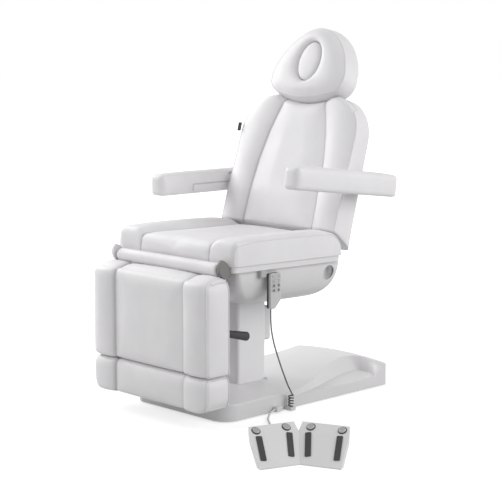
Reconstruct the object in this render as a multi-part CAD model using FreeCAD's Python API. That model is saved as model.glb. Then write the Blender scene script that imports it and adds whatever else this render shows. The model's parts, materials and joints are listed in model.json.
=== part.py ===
"""Electric facial bed: a padded treatment chair on a lifting column.

Millimetres. X is across the chair (+X is the sitter's left), -Y is the foot end, +Z is up.
The origin is on the floor, under the middle of the moulded base. The chair is drawn at its
lowest height, sitting upright, with the leg rest hanging.
"""
import FreeCAD, Part
import math
import os
from FreeCAD import Placement, Rotation, Vector

# Moulded base
BASE_LENGTH = 848.0
BASE_FRONT_WIDTH = 490.0
BASE_REAR_WIDTH = 472.0
BASE_FRONT_CORNER = 62.0
BASE_REAR_CORNER = 14.0
BASE_WALL = 5.0
BASE_FLOOR_GAP = 3.0
BASE_EDGE_ROUND = 5.0
DECK_EDGE_HEIGHT = 61.0
DECK_CROWN_HEIGHT = 78.0
CREST_HEIGHT = 95.0
CREST_EDGE_HEIGHT = 80.0
COVER_SEAM_Y = -122.0
COVER_SEAM_GAP = 0.8
COVER_CAVITY_HEIGHT = 37.0
SCOOP_FLOOR = 42.0
SCOOP_TOP = 98.0
FOOT_HEIGHT = 8.0
FOOT_RADIUS = 20.0
FRAME_RAIL_HEIGHT = 24.0
FRAME_RAIL_WIDTH = 40.0
FRAME_RAIL_X = 170.0

# Lifting column
COLUMN_WIDTH = 162.0
COLUMN_DEPTH = 139.0
COLUMN_Y = -137.5
COLUMN_WALL = 6.0
COLUMN_CORNER = 12.0
COLUMN_TOP = 440.0
COLUMN_FIT = 0.5
COLUMN_FLANGE = 10.0
INNER_WALL = 5.0
INNER_BOTTOM = 60.0
INNER_TOP = 480.0
MAST_PLATE = 10.0
SPINDLE_RADIUS = 9.0
SPINDLE_FIT = 0.1
MOTOR_HEIGHT = 117.0

# Seat
TILT_Z = 512.0
SEAT_SLOPE = 1.2
SEAT_FRONT_Y = -434.0
SEAT_REAR_Y = 90.0
SEAT_BOTTOM = 548.0
SEAT_HALF_WIDTH = 303.0
SEAT_HEIGHT = 84.0
SEAT_CORNER = 20.0
SEAT_REAR_ROUND = 70.0
SEAT_EDGE_ROUND = 18.0
PAN_INSET = 3.0
PAN_HEIGHT = 21.0
PAN_FLOOR = 6.0
PAN_WALL = 8.0
RAIL_X = 200.0
RAIL_WIDTH = 30.0
RAIL_HEIGHT = 28.0
SOFT_GAP = 0.3
SHELL_WALL = 5.0
SHELL_BOTTOM = 388.0
SHELL_MIDDLE = 461.0
SHELL_BOTTOM_HALF = 152.0
SHELL_BOTTOM_Y = (-238.0, 42.0)
SHELL_MIDDLE_HALF = 272.0
SHELL_MIDDLE_Y = (-382.0, 100.0)
SHELL_TOP_HALF = 288.0
SHELL_TOP_Y = (-404.0, 102.0)
SHELL_CORNER = 60.0
SHELL_MIDDLE_CORNER = 24.0
SHELL_TOP_CORNER = 14.0
SIDE_HOLE_RADIUS = 27.0
SIDE_HOLE_Y = 48.0
SIDE_HOLE_Z = 486.0

# Leg rest and foot extension
LEG_HINGE_Y = -458.0
LEG_HINGE_Z = 537.0
LEG_HALF_WIDTH = 300.0
LEG_FRONT_Y = -543.0
LEG_REAR_Y = -457.0
LEG_TOP = 506.0
LEG_BOTTOM = 188.0
FOOT_TOP = 184.5
FOOT_BOTTOM = 64.0
FOOT_CORNER = 46.0
PAD_ROUND = 22.0
LEG_PLATE = 6.0
GUIDE_X = 170.0
GUIDE_RADIUS = 12.0
FOOT_ROD_RADIUS = 8.0
ROD_FIT = 0.05
ROLL_RADIUS = 24.0
ROLL_HALF_LENGTH = 257.0
ROLL_CORE_RADIUS = 15.0
CAP_INNER_X = 272.0
CAP_THICKNESS = 12.0
PIN_RADIUS = 8.0
LEVER_X = 230.0
LEVER_Y = -436.0
LEVER_Z = 318.0

# Backrest, in its own leaning frame: d is the depth behind the front face, h runs up the back
BACK_LEAN = 15.0
BACK_FOOT_Y = 46.0
BACK_FOOT_Z = 614.0
BACK_HALF_WIDTH = 291.0
BACK_DEPTH = 131.0
BACK_FRONT = [(0.5, 8.0), (3.0, 130.0), (13.0, 250.0), (19.0, 370.0), (28.0, 505.0), (33.0, 600.0)]
BACK_REAR_ROUND = 38.0
BACK_SHOULDER_H = 355.0
BACK_SHOULDER_RADIUS = 150.0
BACK_DIP_H = 475.0
BACK_HINGE_Y = 112.0
BACK_HINGE_Z = 556.0
BOARD_THICKNESS = 8.0
BOARD_HALF_WIDTH = 250.0
BOARD_H = (-28.0, 440.0)
POST_GUIDE_H = (180.0, 440.0)
POCKET_HALF_WIDTH = 216.0
POCKET_DEPTH = 28.0
BACK_TUBE_X = 190.0
BACK_TUBE = 24.0
HINGE_EAR = 8.0
HINGE_EYE = 14.0

# Headrest, in the same leaning frame
HEAD_FRONT_D = 15.0
HEAD_DEPTH = 89.0
HEAD_LEAN = 8.0
HEAD_BOTTOM_H = 476.0
HEAD_TOP_H = 748.0
PLUG_H = 615.0
PLUG_HALF_WIDTH = 54.5
PLUG_HALF_HEIGHT = 75.5
PLUG_FIT = 0.5
POST_X = 60.0
POST_RADIUS = 7.0
POST_D = 117.0
HEAD_PIN_D = 138.0
HEAD_PIN_H = 548.0
HEAD_PIN_RADIUS = 5.0
YOKE_DROP = 26.0
YOKE_HEIGHT = 11.0

# Armrests
ARM_INNER_X = 309.5
ARM_WIDTH = 72.5
ARM_FRONT_Y = -206.0
ARM_REAR_Y = 290.0
ARM_BOTTOM = 732.0
ARM_HEIGHT = 79.0
ARM_ROUND = 18.0
ARM_PIVOT_Y = 203.0
ARM_PIVOT_Z = 771.0
ARM_PIN_RADIUS = 10.0
NEAR_ARM_RISE = 7.0
NEAR_ARM_LIFT = 12.0
FAR_ARM_RISE = 1.3
FAR_ARM_LIFT = -7.0
ARM_PLATE = 6.0
ARM_PLATE_FRONT = 110.0

# Actuators for the leg rest, the backrest and the tilt
ACTUATOR_X = 120.0
ACTUATOR_RADIUS = 22.0
ACTUATOR_ROD = 9.0
ACTUATOR_EYE = 13.0
ACTUATOR_CHEEK = 6.0
ACTUATOR_SLOT = 26.0
MOTOR_PIVOT_Y = -170.0
MOTOR_PIVOT_Z = 460.0
LEG_CRANK = (-425.0, 442.0)
BACK_CRANK = (167.0, 518.0)
TILT_ROD_Y = -34.0
TILT_ROD_EYE_Z = 485.0

# Hand control on its hook
HAND_X = (294.0, 313.0)
HAND_Y = (-274.0, -224.0)
HAND_Z = (388.0, 510.0)
HAND_SHOULDER_Z = 416.0
HAND_ROUND = 6.0
KEY_ROWS_Z = (500.0, 484.0, 468.0, 452.0)
KEY_LENGTH = 38.0
KEY_HEIGHT = 11.0
KEY_PROUD = 2.0
KEY_FIT = 0.4
KEY_POCKET = 8.0

# Foot control, standing on the floor as two angled halves
PEDAL_X = 755.4
PEDAL_Y = -585.2
PEDAL_YAW = 46.7
PEDAL_BEND = 24.5
PEDAL_WIDTH = 135.5
PEDAL_FACE = 118.0
PEDAL_FACE_SLOPE = 43.2
PEDAL_STRIP = 36.8
PEDAL_STRIP_SLOPE = 38.0
PEDAL_LIP = 3.0
PEDAL_PLATE = 18.0
PEDAL_SUPPORT = 72.0
PEDAL_ROUND = 5.0
BUTTON_RADIUS = 11.6
BUTTON_FIT = 0.4
BUTTON_DEPTH = 12.0
BUTTON_PROUD = 6.0
BUTTON_STATIONS = (-3.0, 102.0)
TREAD_WIDTH = 19.5
TREAD_LENGTH = 88.0
TREAD_THICKNESS = 3.0

# Cords
HAND_CORD_DIAMETER = 5.0
CURL_DIAMETER = 24.0
FOOT_CORD_DIAMETER = 7.0
CORD_END_GAP = 0.6
CURL_X = BASE_FRONT_WIDTH / 2 + 17.0
CURL_Y = COVER_SEAM_Y
CURL_TOP_Z = 58.0
CURL_BOTTOM_Z = 14.0
HAND_EXIT_X = HAND_X[0] + 9.5
HAND_EXIT_Y = HAND_Y[0] + 10.0
HAND_CORD_ROUTE = [
    (HAND_EXIT_X, HAND_EXIT_Y, HAND_Z[0] - CORD_END_GAP),
    (HAND_EXIT_X - 1.5, HAND_EXIT_Y + 1.0, HAND_Z[0] - 34.0),
    (HAND_EXIT_X - 5.5, HAND_EXIT_Y + 8.0, HAND_Z[0] - 75.0),
    (CURL_X + 30.0, CURL_Y - 116.0, CURL_TOP_Z + 205.0),
    (CURL_X + 24.0, CURL_Y - 88.0, CURL_TOP_Z + 147.0),
    (CURL_X + 18.0, CURL_Y - 58.0, CURL_TOP_Z + 91.0),
    (CURL_X + 10.0, CURL_Y - 27.0, CURL_TOP_Z + 40.0),
    (CURL_X + 3.0, CURL_Y - 6.0, CURL_TOP_Z + 16.0),
    (CURL_X, CURL_Y, CURL_TOP_Z + 1.0),
]
FOOT_EXIT_X = BASE_FRONT_WIDTH / 2 + 10.0
FOOT_EXIT_Y = COLUMN_Y - 56.5
FOOT_EXIT_Z = 15.0
FOOT_CORD_ROUTE = [
    (FOOT_EXIT_X, FOOT_EXIT_Y, FOOT_EXIT_Z),
    (FOOT_EXIT_X + 5.0, FOOT_EXIT_Y - 23.0, FOOT_EXIT_Z - 3.0),
    (FOOT_EXIT_X + 18.0, FOOT_EXIT_Y - 48.0, 6.0),
    (FOOT_EXIT_X + 42.0, FOOT_EXIT_Y - 76.0, 4.0),
    (FOOT_EXIT_X + 76.0, FOOT_EXIT_Y - 106.0, 4.0),
    (FOOT_EXIT_X + 113.0, FOOT_EXIT_Y - 132.0, 4.0),
    (PEDAL_X - 343.4, PEDAL_Y + 219.2, 4.0),
    (PEDAL_X - 297.4, PEDAL_Y + 173.2, 4.0),
    (PEDAL_X - 255.4, PEDAL_Y + 122.2, 4.0),
    (PEDAL_X - 220.4, PEDAL_Y + 71.2, 5.5),
    (PEDAL_X - 195.4, PEDAL_Y + 36.2, 12.0),
    (PEDAL_X - 169.4, PEDAL_Y + 14.2, 21.0),
    (PEDAL_X - 143.4, PEDAL_Y + 5.2, 24.0),
]


def box(x, y, z):
    """Block between a low and a high limit on each axis."""
    return Part.makeBox(x[1] - x[0], y[1] - y[0], z[1] - z[0], Vector(x[0], y[0], z[0]))


def around(centre, half):
    """Low and high limit around a centre."""
    return (centre - half, centre + half)


def bar(radius, start, end):
    """Round bar between two points."""
    first = Vector(*start)
    way = Vector(*end) - first
    return Part.makeCylinder(radius, way.Length, first, way)


def mirrored(shape):
    """The same shape on the other side of the chair."""
    return shape.mirror(Vector(0, 0, 0), Vector(1, 0, 0))


def pair(shape):
    """A shape and its mirror image."""
    return [shape, mirrored(shape)]


def joined(shapes):
    """One solid out of touching shapes."""
    return shapes[0].multiFuse(shapes[1:]).removeSplitter()


def side_plate(points, x):
    """Polygon of (y, z) points, as thick as the two X limits are apart."""
    corners = [Vector(x[0], y, z) for y, z in points]
    return Part.Face(Part.makePolygon(corners + corners[:1])).extrude(Vector(x[1] - x[0], 0, 0))


def upright_edges(shape):
    """Straight edges that run along Z."""
    found = []
    for edge in shape.Edges:
        if isinstance(edge.Curve, Part.Line) and abs(edge.Curve.Direction.z) > 0.999:
            found.append(edge)
    return found


def edges_at(shape, axis, value, spread=0.01):
    """Edges that lie wholly in one plane across an axis."""
    index = "xyz".index(axis)
    found = []
    for edge in shape.Edges:
        low = (edge.BoundBox.XMin, edge.BoundBox.YMin, edge.BoundBox.ZMin)[index]
        high = (edge.BoundBox.XMax, edge.BoundBox.YMax, edge.BoundBox.ZMax)[index]
        if abs(low - value) < spread and abs(high - value) < spread:
            found.append(edge)
    return found


def rounded_block(x, y, z, corner):
    """Block with its four upright edges rounded."""
    block = box(x, y, z)
    return block.makeFillet(corner, upright_edges(block))


def round_rect(half_x, y, corner, z):
    """Closed outline of a rounded rectangle at one height."""
    lean = corner * (1.0 - math.sqrt(0.5))
    runs = []
    for sign_x, sign_y, low in ((1, -1, y[0]), (1, 1, y[1]), (-1, 1, y[1]), (-1, -1, y[0])):
        side = Vector(sign_x * half_x, low - sign_y * corner, z)
        end = Vector(sign_x * (half_x - corner), low, z)
        middle = Vector(sign_x * (half_x - lean), low - sign_y * lean, z)
        first, last = (end, side) if sign_x * sign_y < 0 else (side, end)
        runs.append((first, middle, last))
    edges = []
    for index, (first, middle, last) in enumerate(runs):
        edges.append(Part.Arc(first, middle, last).toShape())
        edges.append(Part.LineSegment(last, runs[(index + 1) % 4][0]).toShape())
    return Part.Wire(edges)


def sloped(shape):
    """A seat piece drawn level, set at the seat's slight fall to the rear."""
    turned = shape.copy()
    turned.rotate(Vector(0, SEAT_FRONT_Y, SEAT_BOTTOM), Vector(1, 0, 0), -SEAT_SLOPE)
    return turned


def placed(shape, placement):
    """A copy of a shape, moved by a placement."""
    moved = shape.copy()
    moved.Placement = placement.multiply(moved.Placement)
    return moved


BACK_PLACE = Placement(Vector(0, BACK_FOOT_Y, BACK_FOOT_Z), Rotation(Vector(1, 0, 0), -BACK_LEAN))


def leaned(shape):
    """A backrest piece drawn upright, set at the back's lean."""
    return placed(shape, BACK_PLACE)


def back_local(y, z):
    """Depth and height in the backrest's frame of a point given in the chair's frame."""
    point = BACK_PLACE.inverse().multVec(Vector(0, y, z))
    return (point.y, point.z)


# Base

def base_plan(inset=0.0):
    """Upright prism of the base's outline, drawn in by an inset."""
    front = BASE_FRONT_WIDTH / 2 - inset
    rear = BASE_REAR_WIDTH / 2 - inset
    end = BASE_LENGTH / 2 - inset
    corners = [Vector(-front, -end, 0), Vector(front, -end, 0), Vector(rear, end, 0), Vector(-rear, end, 0)]
    prism = Part.Face(Part.makePolygon(corners + corners[:1])).extrude(Vector(0, 0, 2 * CREST_HEIGHT))
    for radius, sign in ((BASE_FRONT_CORNER, -1), (BASE_REAR_CORNER, 1)):
        edges = [edge for edge in upright_edges(prism) if edge.Vertexes[0].Y * sign > end - 1]
        prism = prism.makeFillet(radius - inset, edges)
    return prism


def base_side(y):
    """Half the base's width at one station."""
    return (BASE_FRONT_WIDTH - (y / BASE_LENGTH + 0.5) * (BASE_FRONT_WIDTH - BASE_REAR_WIDTH)) / 2


def deck_section(y, edge, crown):
    """Crowned cross-section of the base at one station."""
    half = BASE_FRONT_WIDTH / 2
    reach = 1.2 * half
    radius = (half ** 2 + (crown - edge) ** 2) / (2 * (crown - edge))
    side = crown - radius + math.sqrt(radius ** 2 - reach ** 2)
    left, right = Vector(-reach, y, side), Vector(reach, y, side)
    low_left, low_right = Vector(-reach, y, BASE_FLOOR_GAP), Vector(reach, y, BASE_FLOOR_GAP)
    return Part.Wire([
        Part.LineSegment(low_left, low_right).toShape(), Part.LineSegment(low_right, right).toShape(),
        Part.Arc(right, Vector(0, y, crown), left).toShape(), Part.LineSegment(left, low_left).toShape(),
    ])


def scoop():
    """Hollow along the near side of the rear cover: an S-shaped wall that falls to a low shelf."""
    outer = BASE_FRONT_WIDTH / 2 + 20
    rear = BASE_LENGTH / 2
    floor = [
        (outer, -150), (231, -43), (202, 66), (165, 171), (127, 281), (112, 348),
        (122, rear - 36), (152, rear - 26), (192, rear - 36), (226, rear - 66), (outer, rear - 86),
    ]
    top = [
        (outer, -183), (229, -60), (190, 40), (138, 138), (86, 236), (58, 322),
        (60, rear - 44), (86, rear - 18), (141, rear - 8), (205, rear + 8), (outer, rear + 50),
    ]
    wires, pace = [], [0.0]
    for a, b, c, d in zip(floor, floor[1:], top, top[1:]):
        pace.append(pace[-1] + math.dist(a, b) + math.dist(c, d))
    for points, z in ((floor, SCOOP_FLOOR), (top, SCOOP_TOP)):
        curve = Part.BSplineCurve()
        curve.interpolate(Points=[Vector(x, y, z) for x, y in points], Parameters=pace)
        corners = [Vector(outer, points[-1][1], z), Vector(outer + 40, points[-1][1], z),
                   Vector(outer + 40, points[0][1], z), Vector(outer, points[0][1], z)]
        lines = [Part.LineSegment(a, b).toShape() for a, b in zip(corners, corners[1:])]
        wires.append(Part.Wire([curve.toShape()] + lines))
    return Part.makeLoft(wires, True, True)


def cover_cavity():
    """Space under the covers for the steel frame and the column's foot."""
    plan = base_plan(BASE_WALL)
    low = plan.common(box((-300, 300), (-BASE_LENGTH, BASE_LENGTH), (0, COVER_CAVITY_HEIGHT)))
    flange = COLUMN_FLANGE + FOOT_HEIGHT + FRAME_RAIL_HEIGHT
    foot = box(around(0, COLUMN_WIDTH / 2 + 24), around(COLUMN_Y, COLUMN_DEPTH / 2 + 24), (0, flange + 2))
    return low.fuse(foot)


def column_hole():
    """Opening in the covers that fits round the column."""
    half = COLUMN_WIDTH / 2 + COLUMN_FIT
    depth = COLUMN_DEPTH / 2 + COLUMN_FIT
    return rounded_block((-half, half), around(COLUMN_Y, depth), (0, 2 * CREST_HEIGHT), COLUMN_CORNER)


def front_cover():
    """Front half of the moulded base cover, up to the seam beside the column."""
    end = BASE_LENGTH / 2
    seam = COVER_SEAM_Y - COVER_SEAM_GAP / 2
    sections = [deck_section(y, DECK_EDGE_HEIGHT, DECK_CROWN_HEIGHT) for y in (-end - 1, seam)]
    body = Part.makeLoft(sections, True, True).common(base_plan())
    upper = [edge for edge in body.Edges if edge.BoundBox.ZMin > BASE_FLOOR_GAP + 20]
    body = body.makeFillet(BASE_EDGE_ROUND, [edge for edge in upper if edge.BoundBox.YMin < seam - 1])
    return body.cut(cover_cavity()).cut(column_hole())


def rear_cover():
    """Rear half of the base cover: it swells to a crest at its end, with a scoop along the near side."""
    end = BASE_LENGTH / 2
    seam = COVER_SEAM_Y + COVER_SEAM_GAP / 2
    swell, edge_swell = CREST_HEIGHT - DECK_CROWN_HEIGHT, CREST_EDGE_HEIGHT - DECK_EDGE_HEIGHT
    sections = []
    swelling = ((0.0, 0.0, 0.0), (0.34, 0.06, 0.08), (0.68, 0.36, 0.26), (0.88, 0.76, 0.58), (1.0, 1.0, 1.0))
    for share, crown, edge in swelling:
        y = seam + share * (end + 1 - seam)
        sections.append(deck_section(y, DECK_EDGE_HEIGHT + edge * edge_swell, DECK_CROWN_HEIGHT + crown * swell))
    body = Part.makeLoft(sections, True, False).common(base_plan()).cut(scoop())
    return body.cut(cover_cavity()).cut(column_hole())


def base_frame():
    """Welded steel frame that the column and the covers stand on."""
    z = (FOOT_HEIGHT, FOOT_HEIGHT + FRAME_RAIL_HEIGHT)
    end = BASE_LENGTH / 2 - BASE_FRONT_CORNER + 20
    rails = [box(around(side * FRAME_RAIL_X, FRAME_RAIL_WIDTH / 2), (-end, end), z) for side in (1, -1)]
    reach = FRAME_RAIL_X
    crosses = [box((-reach, reach), around(y, FRAME_RAIL_WIDTH / 2), z) for y in (-end + 20, 0, end - 20)]
    foot = box((-reach, reach), around(COLUMN_Y, COLUMN_DEPTH / 2 + 20), z)
    return joined(rails + crosses + [foot])


def levelling_feet():
    """Round rubber feet under the frame: one near each corner and one in the middle."""
    reach = 0.42 * BASE_LENGTH
    places = [(x, y) for x in (-FRAME_RAIL_X, FRAME_RAIL_X) for y in (-reach, reach)]
    feet = []
    for x, y in places + [(0, 0)]:
        foot = bar(FOOT_RADIUS, (x, y, 0), (x, y, FOOT_HEIGHT))
        feet.append(foot.makeChamfer(1.5, edges_at(foot, "z", 0)))
    return Part.makeCompound(feet)


# Lifting column

def column_tube(half_x, half_y, z, corner, wall):
    """Rectangular tube around the column's axis."""
    outer = rounded_block((-half_x, half_x), around(COLUMN_Y, half_y), z, corner)
    inner = rounded_block((-half_x + wall, half_x - wall), around(COLUMN_Y, half_y - wall),
                          (z[0] - 1, z[1] + 1), corner - wall)
    return outer.cut(inner)


COLUMN_FOOT = FOOT_HEIGHT + FRAME_RAIL_HEIGHT + COLUMN_FLANGE


def outer_column():
    """Fixed column with its foot flange."""
    z = (COLUMN_FOOT - 1, COLUMN_TOP)
    tube = column_tube(COLUMN_WIDTH / 2, COLUMN_DEPTH / 2, z, COLUMN_CORNER, COLUMN_WALL)
    flange = box(around(0, COLUMN_WIDTH / 2 + 20), around(COLUMN_Y, COLUMN_DEPTH / 2 + 18),
                 (COLUMN_FOOT - COLUMN_FLANGE, COLUMN_FOOT))
    return joined([tube, flange])


def inner_column():
    """Sliding column inside the fixed one."""
    step = COLUMN_WALL + COLUMN_FIT
    return column_tube(COLUMN_WIDTH / 2 - step, COLUMN_DEPTH / 2 - step, (INNER_BOTTOM, INNER_TOP),
                       COLUMN_CORNER - step + 0.5, INNER_WALL)


def lift_motor():
    """Gear motor at the foot of the column."""
    z = (COLUMN_FOOT, COLUMN_FOOT + MOTOR_HEIGHT)
    gearbox = rounded_block((-40, 40), around(COLUMN_Y, 40), (z[0], z[0] + 45), 8)
    can = bar(32, (0, COLUMN_Y, z[0] + 45), (0, COLUMN_Y, z[1] - 12))
    collar = bar(16, (0, COLUMN_Y, z[1] - 12), (0, COLUMN_Y, z[1]))
    return joined([gearbox, can, collar])


def lift_spindle():
    """Screw that the motor turns to raise the mast."""
    foot = COLUMN_FOOT + MOTOR_HEIGHT
    return bar(SPINDLE_RADIUS, (0, COLUMN_Y, foot), (0, COLUMN_Y, INNER_TOP - 18))


def lift_nut_tube():
    """Tube with the nut that climbs the screw, hung under the mast head."""
    foot = COLUMN_FOOT + MOTOR_HEIGHT + 6
    tube = bar(20, (0, COLUMN_Y, foot), (0, COLUMN_Y, INNER_TOP))
    bore = bar(SPINDLE_RADIUS + SPINDLE_FIT, (0, COLUMN_Y, foot - 1), (0, COLUMN_Y, INNER_TOP - 10))
    return tube.cut(bore)


TILT_MOTOR_Y = (COLUMN_Y + COLUMN_DEPTH / 2 + 8.5, COLUMN_Y + COLUMN_DEPTH / 2 + 64)


def mast_head():
    """Plate on the sliding column, with the tilt ears and the strap that carries the tilt motor."""
    rear = COLUMN_Y + COLUMN_DEPTH / 2
    top = INNER_TOP + MAST_PLATE
    plate = box((-72, 72), (COLUMN_Y - 60, rear + 8), (INNER_TOP, top))
    strap = box((-20, 20), (rear + 2, rear + 8), (230, top))
    ears = []
    for x in ((50, 60), (-60, -50)):
        cheek = side_plate([(COLUMN_Y - 26, top), (COLUMN_Y + 26, top), (COLUMN_Y + 16, TILT_Z),
                            (COLUMN_Y - 16, TILT_Z)], x)
        eye = bar(16, (x[0], COLUMN_Y, TILT_Z), (x[1], COLUMN_Y, TILT_Z))
        ears.append(cheek.fuse(eye))
    head = joined([plate, strap] + ears)
    return head.cut(bar(PIN_RADIUS + ROD_FIT, (-80, COLUMN_Y, TILT_Z), (80, COLUMN_Y, TILT_Z)))


def tilt_motor():
    """White motor housing behind the column, hung on the mast's strap."""
    z = (208, 334)
    housing = box((-46, 46), TILT_MOTOR_Y, z)
    housing = housing.makeFillet(14, upright_edges(housing))
    housing = housing.makeFillet(12, edges_at(housing, "z", z[0]) + edges_at(housing, "z", z[1]))
    bore = bar(ACTUATOR_ROD + 0.3, (0, TILT_ROD_Y, z[0] + 30), (0, TILT_ROD_Y, z[1] + 1))
    return housing.cut(bore)


def tilt_rod():
    """Push rod of the tilt motor, with its eye under the seat frame."""
    rod = bar(ACTUATOR_ROD, (0, TILT_ROD_Y, 268), (0, TILT_ROD_Y, TILT_ROD_EYE_Z))
    eye = bar(ACTUATOR_EYE, (-8, TILT_ROD_Y, TILT_ROD_EYE_Z), (8, TILT_ROD_Y, TILT_ROD_EYE_Z))
    hole = bar(5, (-9, TILT_ROD_Y, TILT_ROD_EYE_Z), (9, TILT_ROD_Y, TILT_ROD_EYE_Z))
    return joined([rod, eye]).cut(hole)


# Seat

RAIL_TOP = SEAT_BOTTOM - PAN_FLOOR - SOFT_GAP
RAIL_BOTTOM = RAIL_TOP - RAIL_HEIGHT


def cheeks(points, x, gap, eye, hole):
    """Two plates either side of a rod eye, bored for its pin."""
    plates = []
    for side in (1, -1):
        limits = sorted((x + side * gap, x + side * (gap + ACTUATOR_CHEEK)))
        plate = side_plate(points, limits).fuse(bar(ACTUATOR_EYE, (limits[0],) + eye, (limits[1],) + eye))
        plates.append(plate.cut(bar(hole, (limits[0] - 1,) + eye, (limits[1] + 1,) + eye)))
    return plates


def hinge_bar(radius, start, end):
    """Round bar along the leg hinge, between two stations across."""
    return bar(radius, (start, LEG_HINGE_Y, LEG_HINGE_Z), (end, LEG_HINGE_Y, LEG_HINGE_Z))


def seat_frame():
    """Welded frame under the seat: rails, cross members, hinge ears and actuator lugs."""
    z = (RAIL_BOTTOM, RAIL_TOP)
    y = (SEAT_FRONT_Y + 14, SEAT_REAR_Y - 12)
    rails = [box(around(side * RAIL_X, RAIL_WIDTH / 2), y, z) for side in (1, -1)]
    reach = RAIL_X
    crosses = [box((-reach, reach), around(y, 13), z) for y in (-368, MOTOR_PIVOT_Y, -98, -22)]
    crosses.append(box((-reach, reach), around(60, 13), (RAIL_TOP - 12, RAIL_TOP)))
    frame = [sloped(joined(rails + crosses))]
    for side in (1, -1):
        limits = sorted((side * (RAIL_X - 3), side * (RAIL_X + 5)))
        ear = side_plate([(40, 512), (40, 497), (104, 497), (BACK_HINGE_Y + HINGE_EYE, BACK_HINGE_Z - 10),
                          (BACK_HINGE_Y - HINGE_EYE, BACK_HINGE_Z - 10), (94, 513)], limits)
        hinge = (BACK_HINGE_Y, BACK_HINGE_Z)
        eye = bar(HINGE_EYE, (limits[0],) + hinge, (limits[1],) + hinge)
        bore = bar(PIN_RADIUS, (limits[0] - 1,) + hinge, (limits[1] + 1,) + hinge)
        frame.append(ear.fuse(eye).cut(bore))
        bracket = [(-380, 522), (-380, 502), (-432, 506), (LEG_HINGE_Y + 2, 525), (LEG_HINGE_Y + 8, 536),
                   (-440, 525), (-424, 522)]
        frame.append(side_plate(bracket, around(side * RAIL_X, 4)))
        lug = side_plate([(COLUMN_Y - 52, 535), (COLUMN_Y - 52, 522), (COLUMN_Y - 14, TILT_Z - 8),
                          (COLUMN_Y + 14, TILT_Z - 8), (COLUMN_Y + 40, 522), (COLUMN_Y + 40, 533)],
                         sorted((side * 62, side * 70)))
        axis = (COLUMN_Y, TILT_Z)
        frame.append(lug.fuse(bar(15, (side * 62,) + axis, (side * 70,) + axis)))
    frame.append(hinge_bar(ROLL_CORE_RADIUS, -ROLL_HALF_LENGTH, ROLL_HALF_LENGTH))
    pivot = (MOTOR_PIVOT_Y, MOTOR_PIVOT_Z)
    hanger = [(MOTOR_PIVOT_Y - 12, 532), (MOTOR_PIVOT_Y - 12, MOTOR_PIVOT_Z),
              (MOTOR_PIVOT_Y + 12, MOTOR_PIVOT_Z), (MOTOR_PIVOT_Y + 12, 532)]
    for x in (ACTUATOR_X, -ACTUATOR_X):
        frame += cheeks(hanger, x, ACTUATOR_EYE, pivot, 6)
    eye = (TILT_ROD_Y, TILT_ROD_EYE_Z)
    tongue = [(-36, 525), (TILT_ROD_Y - 10, eye[1]), (TILT_ROD_Y + 10, eye[1]), (-10, 525)]
    frame += cheeks(tongue, 0, 10, eye, 5)
    frame = joined(frame)
    frame = frame.cut(bar(PIN_RADIUS, (-80, COLUMN_Y, TILT_Z), (80, COLUMN_Y, TILT_Z)))
    for side in (1, -1):
        end = ROLL_HALF_LENGTH
        frame = frame.cut(hinge_bar(PIN_RADIUS, side * (end - 30), side * (end + 1)))
    return frame


def hinge_pins():
    """Steel pins of the tilt, the back, the leg rest and the two actuators."""
    pins = [bar(PIN_RADIUS, (-74, COLUMN_Y, TILT_Z), (74, COLUMN_Y, TILT_Z))]
    for side in (1, -1):
        pins.append(bar(PIN_RADIUS, (side * (RAIL_X - 20), BACK_HINGE_Y, BACK_HINGE_Z),
                        (side * (RAIL_X + 8), BACK_HINGE_Y, BACK_HINGE_Z)))
        pins.append(bar(PIN_RADIUS, (side * (ROLL_HALF_LENGTH - 30), LEG_HINGE_Y, LEG_HINGE_Z),
                        (side * CAP_INNER_X, LEG_HINGE_Y, LEG_HINGE_Z)))
    reach = ACTUATOR_EYE + ACTUATOR_CHEEK + 2
    for x in (ACTUATOR_X, -ACTUATOR_X):
        pivot = (MOTOR_PIVOT_Y, MOTOR_PIVOT_Z)
        pins.append(bar(6, (x - reach,) + pivot, (x + reach,) + pivot))
    return Part.makeCompound(pins)


PAN_REAR_Y = SEAT_REAR_Y - PAN_INSET


def pan_ring(grow):
    """Upright rim of the seat pan, or with a margin the room that it needs."""
    x = SEAT_HALF_WIDTH - PAN_INSET
    y = (SEAT_FRONT_Y + PAN_INSET, PAN_REAR_Y)
    z = (SEAT_BOTTOM - PAN_HEIGHT - grow, SEAT_BOTTOM)
    corner = SEAT_CORNER - PAN_INSET
    wall = PAN_WALL + grow
    outer = rounded_block(around(0, x + grow), (y[0] - grow, y[1] + grow), z, corner)
    inner = rounded_block(around(0, x - wall), drawn_in(y, wall), drawn_in(z, -1), corner - wall)
    return outer.cut(inner)


def seat_pan():
    """Shallow white tray that carries the seat cushion and hides the frame."""
    x = SEAT_HALF_WIDTH - PAN_INSET
    floor_z = (SEAT_BOTTOM - PAN_FLOOR, SEAT_BOTTOM)
    y = (SEAT_FRONT_Y + PAN_INSET, PAN_REAR_Y)
    tray = rounded_block(around(0, x), y, floor_z, SEAT_CORNER - PAN_INSET)
    notch = box(around(-ACTUATOR_X, ACTUATOR_SLOT), (PAN_REAR_Y - PAN_WALL - 1, PAN_REAR_Y + 1),
                (SEAT_BOTTOM - PAN_HEIGHT - 1, floor_z[0]))
    return sloped(joined([tray, pan_ring(0)]).cut(notch))


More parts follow.
